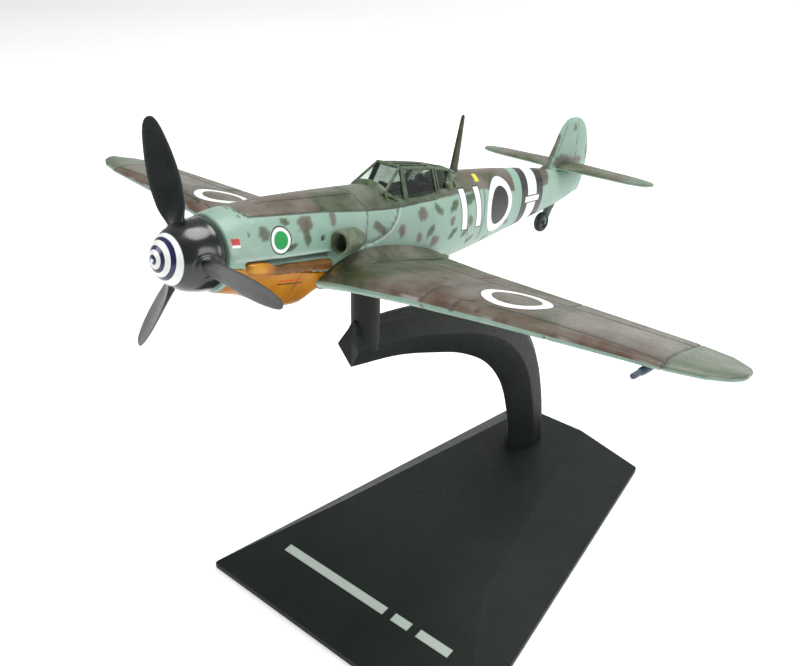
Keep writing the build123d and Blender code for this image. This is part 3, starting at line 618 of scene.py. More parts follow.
def fuselagePaint():
    m = Mixer("sprayedFuselagePaint")
    colour = worn(m, m.layer("camo", True))
    side = m.sum("ABSOLUTE", m.x)
    # tail bands painted right round
    lean = m.sum("MULTIPLY_ADD", m.z, markings["bandLean"], m.y)
    onTail = m.fade(side, markings["tailHalf"] + 0.1, markings["tailHalf"] - 0.1)
    for low, high, key in markings["bands"]:
        colour = m.mix(m.sum("MULTIPLY", m.band(lean, low, high, 0.07), onTail), colour, paint[key])
    # plain ring with a dark middle on each side, plain bar on the band
    away = m.reach(m.y, m.z, *markings["ring"], markings["ringFlat"])
    inner, outer = markings["ringInner"], markings["ringOuter"]
    colour = m.mix(m.fade(away, inner + 0.1, inner - 0.1), colour, paint["black"])
    colour = m.mix(m.band(away, inner - 0.1, outer, 0.08), colour, paint["white"])
    for grow, key in ((0.25, "black"), (0.0, "white")):
        bar = block(m, markings["bandBar"], grow, 0.07)
        colour = m.mix(m.sum("MULTIPLY", bar, onTail), colour, paint[key])
    # two plain leaning bars with a thin dark edge
    for middle in markings["sideBars"]:
        lean = m.sum("MULTIPLY_ADD", m.z, markings["barLean"], m.y)
        across = m.sum("ABSOLUTE", m.sum("SUBTRACT", lean, middle))
        for wide, tall, key in ((1.15, 4.05, "black"), (0.9, 3.85, "white")):
            height = m.sum("ABSOLUTE", m.sum("SUBTRACT", m.z, markings["barMiddle"]))
            upright = m.fade(height, tall + 0.08, tall - 0.08)
            bar = m.sum("MULTIPLY", m.fade(across, wide + 0.08, wide - 0.08), upright)
            colour = m.mix(bar, colour, paint[key])
    # plain disc badge on the nose: dark edge, white rim, green middle
    away = m.reach(m.y, m.z, *markings["badge"])
    for size, key in ((2.05, "badgeEdge"), (1.85, "white"), (1.35, "badgeGreen")):
        colour = m.mix(m.fade(away, size + 0.07, size - 0.07), colour, paint[key])
    # small red and white patch, small yellow patch
    colour = m.mix(block(m, markings["redPatch"]), colour, paint["patchRed"])
    colour = m.mix(block(m, markings["whitePatch"]), colour, paint["white"])
    colour = m.mix(block(m, markings["yellowPatch"], 0.0, 0.08), colour, paint["patchYellow"])
    return m.finish(colour, 0.3, 0.46, 5.0, 0.12, 0.0, 0.06, 0.4)


makePiece("fuselageSkin", [fuselagePatch(), finPatch()], fuselagePaint(), "aircraft",
          ("fuselage_left", "fuselage_right"), 45)
print("fuselage done")

# wing: one casting from tip to tip, with raised root fairings
wing = {
    # x, leading edge, trailing edge, height of the chord line, thickness
    "ribs": [(0, 29.6, 62.9, -6.6, 5.0), (6.2, 29.8, 61.2, -6.0, 4.7), (10, 30.4, 59.4, -5.5, 4.2),
             (20, 32.4, 56.8, -4.8, 3.7),
             (34, 34.1, 54.4, -3.9, 3.1), (50, 35.2, 51.6, -2.9, 2.3), (60, 35.8, 49.9, -2.3, 1.8),
             (65.5, 37.2, 48.3, -2.0, 1.5),
             (68.6, 39.0, 45.9, -1.75, 1.1), (69.35, 40.2, 44.5, -1.67, 0.85),
             (69.6, 41.2, 43.4, -1.65, 0.6)],
    "tip": 69.6, "tipRows": (69.0, 69.2, 69.35, 69.5),
    # share of the chord, share of the thickness; from the trailing edge over the top and back below
    "section": [(1, 0.09), (0.85, 0.20), (0.6, 0.42), (0.3, 0.62), (0.1, 0.5), (0.03, 0.30), (0, 0),
                (0.03, -0.18),
                (0.1, -0.3), (0.3, -0.38), (0.6, -0.26), (0.85, -0.12), (1, -0.06)],
    "around": 250, "step": 0.62, "seamDepth": 0.15, "seamWidth": 0.34,
    "lines": [                              # x, station on the upper skin of both panels
        [(32.7, 34.6), (33.1, 36.3), (38.5, 37.0), (45.3, 37.3), (53.6, 37.4), (60.5, 36.9)],
        [(22.9, 49.6), (28.5, 49.3), (38.5, 48.9), (47.1, 48.5), (60.4, 47.5)],
        [(60.5, 36.0), (60.4, 49.7)],
        [(40.2, 48.9), (40.2, 53.2)],
        [(22.9, 49.6), (22.9, 56.0)], [(12.2, 50.8), (22.9, 49.6)], [(12.2, 50.8), (12.2, 58.6)],
        [(23.6, 33.2), (23.9, 37.2), (25.1, 39.7), (25.6, 43.0), (25.7, 49.5)],
        [(29.0, 33.6), (28.8, 35.6), (31.2, 36.3)],
    ],
    "lowLines": [[(12, 36), (60, 39)], [(24, 32.8), (24, 58)], [(44, 34.8), (44, 53.8)],
                 [(60.4, 36), (60.4, 50)],
                 [(12, 49.8), (60.4, 47.6)]],
}
ribTable = np.array(wing["ribs"], float)


def ribAt(x):
    # straight from rib to rib, the same on both sides
    return [np.interp(np.abs(x), ribTable[:, 0], ribTable[:, i]) for i in range(1, 5)]


def sectionLoop(count):
    # the section's own points joined smoothly, spaced by their distance on a typical rib
    pts = np.array(wing["section"], float)
    length = np.concatenate([[0], np.cumsum(np.hypot(np.diff(pts[:, 0]) * 25, np.diff(pts[:, 1]) * 3.5))])
    return flow(np.linspace(0, length[-1], count), length, pts)


def wingUpper(x, y):
    # height of the upper skin: the chord line and the section's share of the thickness
    front, rear, level, thick = ribAt(x)
    pts = np.array(wing["section"][:7][::-1], float)      # the seven points of the upper side
    return level + thick * np.interp(np.clip((y - front) / (rear - front), 0, 1), pts[:, 0], pts[:, 1])


def wingCamo(points, topSide):
    # soft patches of each tone laid one on another by span and chord, pale below
    x, y = points[..., 0], points[..., 1]
    a = np.abs(x)
    pale, green, brown = (tone3(k) for k in ("pale", "green", "brown"))
    warm, mauve, tip = (tone3(k) for k in ("warmBrown", "mauve", "tipGreen"))
    colour = np.ones(points.shape) * brown
    def lay(cover, tone):
        nonlocal colour
        colour = colour * (1 - cover[..., None]) + tone * cover[..., None]
    # root green-brown, mauve-brown from mid span, grey-green tip
    wave = ripple(x, y, 22, 21)
    lay(ease(a + 2.0 * wave, 39, 44), mauve)
    lay((1 - ease(a + 1.5 * ripple(x, y, 14, 4), 13.5, 17)) * 0.8, green)
    lay(ease(-np.abs(a - 41.5 + 0.25 * (y - 42)) + 0.6 * ripple(x, y, 6, 31), -2.6, -1.2) * 0.75, green)
    ahead = ease(-np.abs(a - 38.0) + 0.5 * ripple(x, y, 5, 41), -5.5, -3.5) * (1 - ease(y, 36.2, 37.4))
    lay(ahead * 0.8, green)
    behindEdge = y - np.interp(a, (0, 30, 60), (31.5, 35.6, 37.3))
    lay((1 - ease(behindEdge, -0.3, 0.6)) * ease(a, 12, 18) * 0.75, warm)
    lay(ease(y - np.interp(a, (10, 60), (55.5, 48.6)) + 0.4 * wave, -0.3, 1.6) * 0.6, green * 1.2)
    lay(ease(a, 60.2, 60.7), tip)
    lay(ease(-np.abs(a - 58.4) + 0.4 * ripple(x, y, 5, 51), -1.6, -0.4) * ease(y, 41, 45) * 0.6, tip)
    lay(ease(-np.abs(a - 22.5) + 0.8 * ripple(x, y, 7, 61), -1.8, -0.5) * 0.35, warm)
    return np.where(topSide[..., None], colour, pale * np.ones(points.shape))


def wingPatch():
    # the section scaled to the chord and thickness of each rib, pressed in along the engraved lines
    lineSpans = [s * v for v in (22.9, 40.2, 60.45, 12.2, 44, 24) for s in (-1, 1)]
    x = stations(-wing["tip"], wing["tip"], wing["step"], lineSpans, 0.14)
    x = np.unique(np.concatenate([x, [s * v for v in wing["tipRows"] for s in (-1, 1)]]))
    front, rear, level, thick = (v[:, None] for v in ribAt(x))
    loop = sectionLoop(wing["around"])
    y = front + (rear - front) * loop[None, :, 0]
    z = level + thick * loop[None, :, 1]
    points = np.stack([np.repeat(x[:, None], loop.shape[0], 1), y, z], -1)
    upper = np.broadcast_to((np.arange(loop.shape[0]) < loop.shape[0] * 0.497)[None], z.shape)
    flat = points * [1, 1, 0]
    flat[..., 0] = np.abs(flat[..., 0])
    spread = lambda lines: [[(a, b, 0) for a, b in line] for line in lines]
    seamAndShade = np.where(upper, nearLines(flat, spread(wing["lines"]), wing["seamWidth"]),
                    nearLines(flat, spread(wing["lowLines"]), wing["seamWidth"]))
    ends = np.clip((69.2 - np.abs(x)) / 3, 0, 1)[:, None]
    points[..., 2] += np.where(upper, -1, 1) * wing["seamDepth"] * seamAndShade * ends
    # paint rubbed off in patches along the leading edge, outside the root
    onEdge = ease(-np.abs(loop[None, :, 0] - 0.012) + 0 * z, -0.012, -0.004) * (np.abs(x[:, None]) > 12)
    rubAndHighlight = onEdge * ease(ripple(x[:, None], z, 9, 77), 0.1, 0.7)
    camo = wingCamo(points, upper & ((y - front) / (rear - front) > 0.005))
    return {"points": shipToFrame(points), "layers": {"seamAndShade": seamAndShade * 0.9, "rubAndHighlight": rubAndHighlight * 0.5, "camo": camo}}


fairing = {
    # station, height on the fuselage and on the wing
    "rows": [(31.0, -4.2, -4.9), (32.2, -3.3, -4.5), (34.3, -2.25, -3.8), (38.1, -1.45, -3.25),
             (42, -1.3, -3.05), (46, -1.55, -3.35),
             (50, -2.15, -3.95), (54, -2.95, -4.6), (57, -3.75, -5.1), (59.5, -4.55, -5.6),
             (61.4, -5.35, -6.4)],
    "inner": 5.2, "edge": 6.62, "outer": 9.6, "lip": 0.22, "along": 130, "steps": 26, "hollowness": 1.7,
}


def fairingPatch(side):
    # concave quarter from the fuselage's side down to the wing, thin lip at both edges, closed below
    table = np.array(fairing["rows"], float)
    y = np.linspace(table[0, 0], table[-1, 0], fairing["along"])
    high, low = flow(y, table[:, 0], table[:, 1:]).T
    # the outer edge runs in towards both ends
    frontIn = 1.6 * (1 - np.sin(np.clip((y - 31) / 5, 0, 1) * math.pi / 2))
    outer = fairing["outer"] - frontIn - 1.4 * ease(y, 57, 61.6)
    base = wingUpper(outer, y)
    t = np.linspace(0, 1, fairing["steps"])[None]
    x = fairing["edge"] + (outer[:, None] - fairing["edge"]) * t
    z = (base + 0.12)[:, None] + (high - base - 0.12)[:, None] * (1 - t) ** fairing["hollowness"]
    rib = 0.1 * np.exp(-(((t - 0.42) / 0.1) ** 2)) * ease(y, 33, 36)[:, None]
    top = np.stack([x, np.repeat(y[:, None], fairing["steps"], 1), z + rib], -1)
    first = np.stack([0 * y + fairing["edge"] - 0.12, y, high - fairing["lip"] * 0.5], -1)[:, None]
    inner = np.stack([0 * y + fairing["inner"], y, high - 0.5], -1)[:, None]
    innerLow = np.stack([0 * y + fairing["inner"], y, np.minimum(low, base) - 0.9], -1)[:, None]
    outerLow = np.stack([outer, y, base - 0.35], -1)[:, None]
    points = np.concatenate([innerLow, inner, first, top, outerLow], 1)
    # dark along the lip on the fuselage, fainter along the wing
    seamAndShade = np.zeros(points.shape[:2])
    seamAndShade[:, 2] = 1.0
    seamAndShade[:, 3] = 0.7
    seamAndShade[:, -2:] = 0.5
    seamAndShade += nearLines(points * [1, 1, 0], [[(6.6, 41.5, 0), (9.6, 43.6, 0)]], 0.25)
    points[..., 0] *= side
    colour = np.ones(points.shape) * tone3("green") * 0.85
    soft = ease(ripple(points[..., 0] * 2, points[..., 1], 12, 9), 0.0, 0.6)[..., None]
    colour = colour * (1 - 0.4 * soft) + tone3("brown") * 0.34 * soft
    yellow = (1 - ease(points[..., 1] + 0.4 * points[..., 0], 33.6, 36.4))[..., None]
    colour = colour * (1 - yellow * 0.75) + tone3("rootYellow") * yellow * 0.75
    layers = {"seamAndShade": np.clip(seamAndShade, 0, 1), "rubAndHighlight": seamAndShade * 0, "camo": colour}
    return {"points": shipToFrame(points), "layers": layers}


def wingPaint():
    m = Mixer("sprayedWingPaint")
    colour = worn(m, m.layer("camo", True), True, 0.16)
    streak = m.fade(m.noise(0.35, 4, (1.0, 0.22, 1.0)), 0.5, 0.75)
    colour = m.mix(m.sum("MULTIPLY", streak, 0.2), colour, (0.03, 0.035, 0.03, 1))
    # a plain white ring with a thin dark edge on each panel
    inner, outer, rim = (markings[k] for k in ("wingRingInner", "wingRingOuter", "wingRingEdge"))
    for middleX, middleY in markings["wingRings"]:
        away = m.reach(m.x, m.y, middleX, middleY)
        ring = m.band(away, inner, outer, 0.1)
        edge = m.band(away, inner - rim, outer + rim, 0.1)
        colour = m.mix(m.sum("MULTIPLY", edge, 0.75), colour, paint["black"])
        colour = m.mix(ring, colour, paint["white"])
    return m.finish(colour, 0.32, 0.48, 5.0, 0.12, 0.0, 0.04, 0.35)


makePiece("wingSkin", [wingPatch(), fairingPatch(1), fairingPatch(-1)], wingPaint(), "aircraft",
          ("wing",), 50)
print("wing done")

# lower cowl with the chin cooler
cowl = {
    "rows": 110, "around": 130, "proud": 0.06, "thick": 0.6, "lobeHalf": 4.3, "seamDepth": 0.12,
    "seamWidth": 0.3,
    # station, how far the chin lobe swells down
    "lobe": [(11.9, 0), (15, 0.1), (18, 0.8), (21, 1.9), (24, 2.8), (27, 3.05), (29.4, 2.6), (31, 1.5),
             (32.8, 0.1)],
    "stencil": [(-2.55, 0.16), (-3.15, 0.13)], "stencilFrom": 21.2, "stencilTo": 26.4, "stencilSlope": 0.085,
}


def cowlPatch():
    # the fuselage's oval below a sloping edge, with a smooth lobe that swells under the chin
    front, rear, high, low = fuselage["cowl"]
    y = stations(front, rear, (rear - front) / cowl["rows"])
    wide, top, bottom, power = ringAt(y)
    edge = np.interp(y, (front, rear), (high, low))
    middle, tall = (top + bottom) / 2, (top - bottom) / 2
    startSine = np.clip(np.abs((edge - middle) / tall) ** (power / 2), 0, 1)
    startTurn = np.arcsin(startSine) * np.sign(edge - middle)
    share = np.linspace(0, 1, cowl["around"])[None]
    turn = startTurn[:, None] - share * (math.pi + 2 * startTurn[:, None])
    c, s = np.cos(turn), np.sin(turn)
    p = 2 / power[:, None]
    x = wide[:, None] * np.sign(c) * np.abs(c) ** p
    z = middle[:, None] + tall[:, None] * np.sign(s) * np.abs(s) ** p
    swell = flow(y, *np.array(cowl["lobe"], float).T)
    lobe = swell[:, None] * np.exp(-((np.abs(x) / cowl["lobeHalf"]) ** 3.2)) * (z < -2)
    centre = np.stack([0 * x, 0 * x + y[:, None], 0 * x + middle[:, None]], -1)
    skin = np.stack([x, 0 * x + y[:, None], z], -1)
    out = skin - centre
    out /= np.linalg.norm(out, axis=-1, keepdims=True)
    mirrored = np.abs(skin * [1, 0, 0]) + skin * [0, 1, 1]
    hatch = [(sideX(25.5, -3.5)[0], 25.5, -3.4), (sideX(25.2, -5.5)[0], 25.2, -5.6), (3.4, 24.8, -7.2)]
    seamAndShade = nearLines(mirrored, [hatch], cowl["seamWidth"])
    skin = skin + out * (cowl["proud"] - cowl["seamDepth"] * seamAndShade[..., None])
    skin[..., 2] -= lobe
    inner = lambda grid, depth: grid - np.concatenate([out[:, :1], out[:, -1:]], 1) * depth
    rim = np.stack([skin[:, 0], skin[:, -1]], 1)
    tucked = inner(rim, cowl["thick"])
    # the open side is closed by a wall that runs inside
    grid = np.concatenate([tucked[:, :1], skin, tucked[:, 1:]], 1)
    pad = lambda layer: np.concatenate([layer[:, :1] * 0, layer, layer[:, :1] * 0], 1)
    return {"points": shipToFrame(grid), "layers": {"seamAndShade": pad(seamAndShade)}}


def cowlPaint():
    m = Mixer("orangeCowlPaint")
    orange = m.mix(m.fade(m.noise(0.3, 4), 0.35, 0.7), linear(176, 118, 6), linear(198, 138, 14))
    # the orange is painted darker towards the bottom of the chin
    darkerBelow = m.fade(m.z, -4.5, -10.5)
    colour = m.mix(m.sum("MULTIPLY", darkerBelow, 0.35), orange, linear(122, 70, 8))
    green = m.fade(m.sum("MULTIPLY_ADD", m.noise(0.7, 3), 2.5, m.y), 31.2, 33.6)
    colour = m.mix(green, colour, linear(118, 118, 44))
    # thin printed lines beside the hatch
    onSide = m.fade(m.sum("ABSOLUTE", m.x), 3.0, 3.5)
    slope = m.sum("MULTIPLY_ADD", m.y, cowl["stencilSlope"], m.z)
    span = m.band(m.y, cowl["stencilFrom"], cowl["stencilTo"], 0.15)
    for (level, wide), tone in zip(cowl["stencil"], (linear(200, 84, 20), linear(70, 34, 10))):
        line = m.sum("MULTIPLY", m.band(slope, level - wide, level + wide, 0.05), span)
        colour = m.mix(m.sum("MULTIPLY", m.sum("MULTIPLY", line, onSide), 0.85), colour, tone)
    colour = m.mix(m.sum("MULTIPLY", m.fade(m.noise(0.9, 6), 0.55, 0.75), 0.3), colour, linear(92, 56, 10))
    colour = m.mix(m.sum("MULTIPLY", m.layer("seamAndShade"), 0.7), colour, linear(70, 40, 6))
    return m.finish(colour, 0.3, 0.45, 5.0, 0.12, 0.0, 0.06, 0.35)


makePiece("lowerCowl", [cowlPatch()], cowlPaint(), "aircraft", ("lower_cowl",), 50)

# exhaust covers: a rounded bar each side, swollen at its front end
exhaust = {
    # station, height of the middle, half height, how far the bar stands out from the centre line
    "rows": [(14.0, -1.0, 0.1, 6.0), (14.15, -1.05, 0.42, 6.3), (14.6, -1.1, 0.66, 6.7),
             (15.6, -1.2, 0.8, 7.0), (17.0, -1.35, 0.84, 7.1),
             (18.3, -1.6, 0.8, 7.15), (18.9, -1.85, 0.74, 7.2), (22, -2.05, 0.76, 7.3),
             (27, -2.35, 0.8, 7.35), (30.2, -2.55, 0.82, 7.35),
             (30.9, -2.6, 0.7, 7.2), (31.25, -2.62, 0.35, 6.8), (31.35, -2.62, 0.1, 6.4)],
    "inner": 5.4, "stubStart": 19.4, "stubPitch": 1.95, "stubsFrom": 19, "stubsTo": 30.6, "grooveDepth": 0.12,
    "goldFrom": 17.2, "goldTo": 19.4, "along": 240, "around": 56, "squareness": 3.4,
}


def exhaustPatches(side):
    # rounded box section carried aft, with a shallow groove between the stubs on its lower outer edge
    table = np.array(exhaust["rows"], float)
    y = np.linspace(table[0, 0], table[-1, 0], exhaust["along"])
    middle, half, reach = flow(y, table[:, 0], table[:, 1:]).T
    turn = np.linspace(0, 2 * math.pi, exhaust["around"], endpoint=False)
    c, s = np.cos(turn)[None], np.sin(turn)[None]
    power = 2 / exhaust["squareness"]
    inner, outer = exhaust["inner"], reach[:, None]
    x = (inner + outer) / 2 + (outer - inner) / 2 * np.sign(c) * np.abs(c) ** power
    z = middle[:, None] + half[:, None] * np.sign(s) * np.abs(s) ** power
    notch = np.abs(((y - exhaust["stubStart"]) / exhaust["stubPitch"] + 0.5) % 1 - 0.5)
    groove = np.exp(-((notch / 0.09) ** 2)) * (y > exhaust["stubsFrom"]) * (y < exhaust["stubsTo"])
    groove = groove[:, None] * (c > 0.2) * (s < -0.2)
    x = x - groove * exhaust["grooveDepth"]
    points = np.stack([x * side, 0 * x + y[:, None], z], -1)
    gold = np.repeat((1 - ease(y, exhaust["goldFrom"], exhaust["goldTo"]))[:, None], len(turn), 1)
    return [{"points": shipToFrame(points), "layers": {"gold": gold, "seamAndShade": groove * 0.35}}]


def exhaustPaint():
    m = Mixer("burntExhaust")
    burnt = m.mix(m.fade(m.noise(0.5, 4), 0.3, 0.7), linear(112, 76, 28), linear(134, 96, 44))
    under = m.fade(m.sum("MULTIPLY_ADD", m.y, 0.055, m.z), -1.15, -1.6)
    burnt = m.mix(m.sum("MULTIPLY", under, 0.45), burnt, linear(190, 126, 22))
    gold = m.mix(m.fade(m.noise(0.5, 3), 0.3, 0.7), linear(176, 116, 18), linear(206, 152, 40))
    colour = m.mix(m.layer("gold"), burnt, gold)
    colour = m.mix(m.layer("seamAndShade"), colour, linear(46, 28, 10))
    return m.finish(colour, 0.3, 0.45, 5.0, 0.12, 0.15, 0.1)


burnt = exhaustPaint()
for side, word in ((1, "left"), (-1, "right")):
    makePiece("exhaustBar_" + word, exhaustPatches(side), burnt, "aircraft",
              ("exhaust_" + word,), 50)
print("cowl and exhausts done")

# supercharger intake: bell mouth that blends back into the side
intake = {
    # station, x, z, radius of the outer skin
    "outer": [(30.95, 8.05, 1.1, 1.7), (31.15, 8.1, 1.1, 1.95), (31.7, 8.05, 1.08, 2.02),
              (33.0, 7.75, 1.0, 2.05), (34.6, 7.15, 0.85, 2.1),
              (36.4, 6.35, 0.65, 2.0), (38.0, 5.6, 0.45, 1.7), (40.2, 4.7, 0.2, 1.2)],
    # the same inside, from the closed throat forward to the lip
    "inner": [(32.9, 8.1, 1.1, 0.25), (32.88, 8.1, 1.1, 0.92), (32.2, 8.15, 1.12, 1.265),
              (31.3, 8.15, 1.13, 1.5),
              (30.95, 8.15, 1.14, 1.62)],
    "around": 72, "along": 60, "flat": 0.96, "darkRows": 3,
}


def intakePatch():
    # rings carried aft along the duct; the first ones run forward from the throat round the lip
    turn = np.linspace(0, 2 * math.pi, intake["around"], endpoint=False)
    table = np.array(intake["outer"], float)
    y = np.linspace(table[0, 0], table[-1, 0], intake["along"])
    outer = np.concatenate([y[:, None], flow(y, table[:, 0], table[:, 1:])], 1)
    rows = np.concatenate([np.array(intake["inner"]), outer])
    x = rows[:, 1:2] + rows[:, 3:4] * np.cos(turn)[None]
    z = rows[:, 2:3] + rows[:, 3:4] * intake["flat"] * np.sin(turn)[None]
    # the rows inside the mouth are painted dark as shade
    dark = np.repeat((np.arange(len(rows)) < intake["darkRows"])[:, None], len(turn), 1) * 0.8
    points = np.stack([x, 0 * x + rows[:, :1], z], -1)
    return {"points": shipToFrame(points), "layers": {"seamAndShade": dark, "rubAndHighlight": dark * 0}}


def plainPaint(name, light, dark, scale=0.7, roughLow=0.35, roughHigh=0.5, coat=0.1, seams=True):
    # one sprayed tone drifting between a light and a dark shade
    m = Mixer(name)
    colour = m.mix(m.fade(m.noise(scale, 5), 0.32, 0.7), dark, light)
    return m.finish(worn(m, colour, seams, 0.1), roughLow, roughHigh, 6.0, 0.15, 0.0, coat)


makePiece("intakeHorn", [intakePatch()], plainPaint("intakePaint", linear(104, 120, 88), linear(72, 84, 54)),
          "aircraft", ("supercharger_intake",), 50)

# tailplane
tailplane = {
    "front": [(0, 109.6), (3, 109.6), (17.5, 111.0), (20.0, 111.9), (21.3, 112.9), (21.85, 113.9),
              (22.0, 114.7)],
    "rear": [(0, 121.3), (3, 121.3), (18.4, 118.8), (20.3, 117.8), (21.3, 116.9), (21.85, 115.8),
             (22.0, 115.0)],
    "level": 6.8, "half": 0.72, "around": 110, "rows": 150, "tip": 22.0, "seamDepth": 0.07, "seamWidth": 0.24,
    "taper": [(0, 1), (17, 0.95), (21, 0.75), (22, 0.35)],      # x, share of the half thickness
    "lines": [[(2.5, 117.6), (19.9, 116.2)], [(19.9, 116.2), (19.9, 118.2)], [(10.5, 116.9), (10.5, 120.3)]],
}


def tailplanePatch():
    # every station across has a lens section, closer together towards both tips
    x = tailplane["tip"] * np.sin(np.linspace(-1, 1, tailplane["rows"]) * math.pi / 2)
    front, rear = (np.interp(np.abs(x), *np.array(tailplane[k]).T) for k in ("front", "rear"))
    turn = np.linspace(0, 2 * math.pi, tailplane["around"], endpoint=False)
    along, thick = lens(turn)
    half = tailplane["half"] * np.interp(np.abs(x), *np.array(tailplane["taper"]).T)
    y = front[:, None] + (rear - front)[:, None] * along[None]
    z = tailplane["level"] + half[:, None] * thick[None]
    points = np.stack([np.repeat(x[:, None], len(turn), 1), y, z], -1)
    flat = np.abs(points * [1, 0, 0]) + points * [0, 1, 0]
    lines = [[(p, q, 0) for p, q in line] for line in tailplane["lines"]]
    seamAndShade = nearLines(flat, lines, tailplane["seamWidth"])
    points[..., 2] -= np.sign(points[..., 2] - tailplane["level"]) * seamAndShade * tailplane["seamDepth"]
    upper = ease(points[..., 2], 6.5, 6.9)[..., None]
    green, brown, pale = (tone3(k) for k in ("green", "brown", "pale"))
    share = ease(ripple(points[..., 0], y, 15, 6), -0.2, 0.4)[..., None]
    topTone = brown * 1.12 * share + green * 1.25 * (1 - share)
    tipTone = ease(np.abs(points[..., 0]), 14, 19)[..., None] * 0.35
    topTone = topTone * (1 - tipTone) + pale * tipTone
    camo = topTone * upper + pale * (1 - upper)
    return {"points": shipToFrame(points), "layers": {"seamAndShade": seamAndShade * 0.7, "rubAndHighlight": seamAndShade * 0, "camo": camo}}


def camoPaint(name):
    m = Mixer(name)
    return m.finish(worn(m, m.layer("camo", True), True, 0.2), 0.38, 0.55, 5.0, 0.12, 0.0, 0.0, 0.35)


makePiece("tailplaneSkin", [tailplanePatch()], camoPaint("tailplanePaint"), "aircraft",
          ("tailplane",), 50)


# tail wheel and its leg, mast, pitot and coolers
def tube(path, radii, around=28, squash=1.0):
    # round section carried along a path, its plane square to the path at every point
    path, radii = np.array(path, float), np.array(radii, float)
    way = np.gradient(path, axis=0)
    way /= np.linalg.norm(way, axis=1, keepdims=True)
    side = np.cross(way, [1.0, 0.02, 0.03])
    side /= np.linalg.norm(side, axis=1, keepdims=True)
    other = np.cross(way, side)
    turn = np.linspace(0, 2 * math.pi, around, endpoint=False)
    return path[:, None] + radii[:, None, None] * (
        np.cos(turn)[None, :, None] * side[:, None] + squash * np.sin(turn)[None, :, None] * other[:, None])


tailWheel = {
    "y": 108.7, "z": -6.0, "hubRadius": 1.15, "around": 72,
    # radius, half width
    "profile": [(0.0, 0.42), (0.35, 0.46), (0.7, 0.5), (1.0, 0.42), (1.12, 0.4), (1.2, 0.62), (1.35, 0.8),
                (1.6, 0.86), (1.9, 0.82), (2.15, 0.62), (2.27, 0.34), (2.3, 0.0)],
    # x, radius of the axle
    "axle": [(-1.12, 0.3), (-1.05, 0.42), (0, 0.42), (1.05, 0.42), (1.12, 0.3)],
    # station, height, radius of the fork leg and of the cuff round its root
    "leg": [(111.4, -1.0, 1.3), (110.9, -2.6, 1.25), (110.3, -4.2, 1.15), (109.7, -5.2, 1.05),
            (109.0, -6.0, 0.8),
            (108.6, -6.5, 0.45)],
    "cuff": [(111.6, -0.8, 1.25), (111.2, -1.9, 1.3), (110.9, -2.7, 1.2), (110.7, -3.1, 0.9)],
}


def tyrePatches():
    # profile of tyre and hub turned about the wheel's axle
    wheel = tailWheel
    profile = wheel["profile"]
    radius, half = np.array(profile + [(r, -h) for r, h in profile[::-1]]).T
    turn = np.linspace(0, 2 * math.pi, wheel["around"], endpoint=False)
    radius = np.maximum(radius, 0.05)
    x = half[:, None] + 0 * turn[None]
    y = wheel["y"] + radius[:, None] * np.cos(turn)[None]
    z = wheel["z"] + radius[:, None] * np.sin(turn)[None]
    hub = np.where(radius[:, None] < wheel["hubRadius"], 1.0, 0) + 0 * x
    return [{"points": shipToFrame(np.stack([x, y, z], -1)), "layers": {"hub": hub}}]


def tyrePaint():
    m = Mixer("tailTyre")
    rubber = m.mix(m.fade(m.noise(0.8, 5), 0.35, 0.7), linear(30, 36, 28), linear(52, 60, 46))
    hub = m.mix(m.fade(m.noise(1.2, 4), 0.4, 0.6), linear(40, 48, 38), linear(66, 78, 58))
    colour = m.mix(m.layer("hub"), rubber, hub)
    return m.finish(colour, 0.45, 0.65, 6, 0.2)


makePiece("tailTyre", tyrePatches(), tyrePaint(), "aircraft", ("tail_wheel",), 50)


def legPatches():
    # flat tapering fork leg from the tail down to the axle, with a thin axle through the hub
    leg, cuff = (tube([(0, y, z) for y, z, r in tailWheel[k]], [r for y, z, r in tailWheel[k]], 30, flat)
                 for k, flat in (("leg", 0.72), ("cuff", 0.8)))
    axle = tube([(x, tailWheel["y"], tailWheel["z"]) for x, r in tailWheel["axle"]],
                [r for x, r in tailWheel["axle"]], 24)
    return [{"points": shipToFrame(p)} for p in (leg, cuff, axle)]


def plainNode(name, light, dark, scale=0.8, roughLow=0.35, roughHigh=0.5, metal=0.0, coat=0.0, ship=True,
              bump=0.2):
    # plain finish for small pieces: two tones and fine dust
    m = Mixer(name, ship)
    colour = m.mix(m.fade(m.noise(scale, 5), 0.32, 0.7), dark, light)
    dust = m.sum("MULTIPLY", m.fade(m.noise(2.2, 6, None, 0.7), 0.6, 0.75), 0.25)
    colour = m.mix(dust, colour, linear(120, 118, 104))
    return m.finish(colour, roughLow, roughHigh, 6.0, bump, metal, coat)


makePiece("tailLeg", legPatches(), plainNode("legPaint", linear(110, 134, 118), linear(74, 92, 78)),
          "aircraft", ("tail_wheel_leg",), 50)


mast = {
    # height, half length, half width
    "rows": [(7.2, 1.45, 0.72), (7.7, 1.4, 0.7), (8.1, 1.25, 0.6), (9.0, 1.12, 0.52), (11.2, 0.98, 0.47),
             (13.3, 0.84, 0.42), (15.4, 0.7, 0.37), (17.3, 0.56, 0.33), (18.2, 0.44, 0.3),
             (18.45, 0.36, 0.34),
             (18.7, 0.3, 0.28), (18.9, 0.16, 0.14)],
    "footY": 70.5, "headY": 71.3, "around": 36,
}


def mastPatches():
    # leaning oval blade with a swollen foot and a small ball at its head
    z, long, wide = (column[:, None] for column in np.array(mast["rows"]).T)
    y = np.interp(z, (z[0, 0], z[-1, 0]), (mast["footY"], mast["headY"]))
    turn = np.linspace(0, 2 * math.pi, mast["around"], endpoint=False)[None]
    points = np.stack([wide * np.sin(turn), y + long * np.cos(turn), z + 0 * turn], -1)
    return [{"points": shipToFrame(points)}]


makePiece("antennaMast", mastPatches(), plainNode("mastPaint", linear(74, 86, 56), linear(48, 58, 38)),
          "aircraft", ("antenna_mast",), 50)


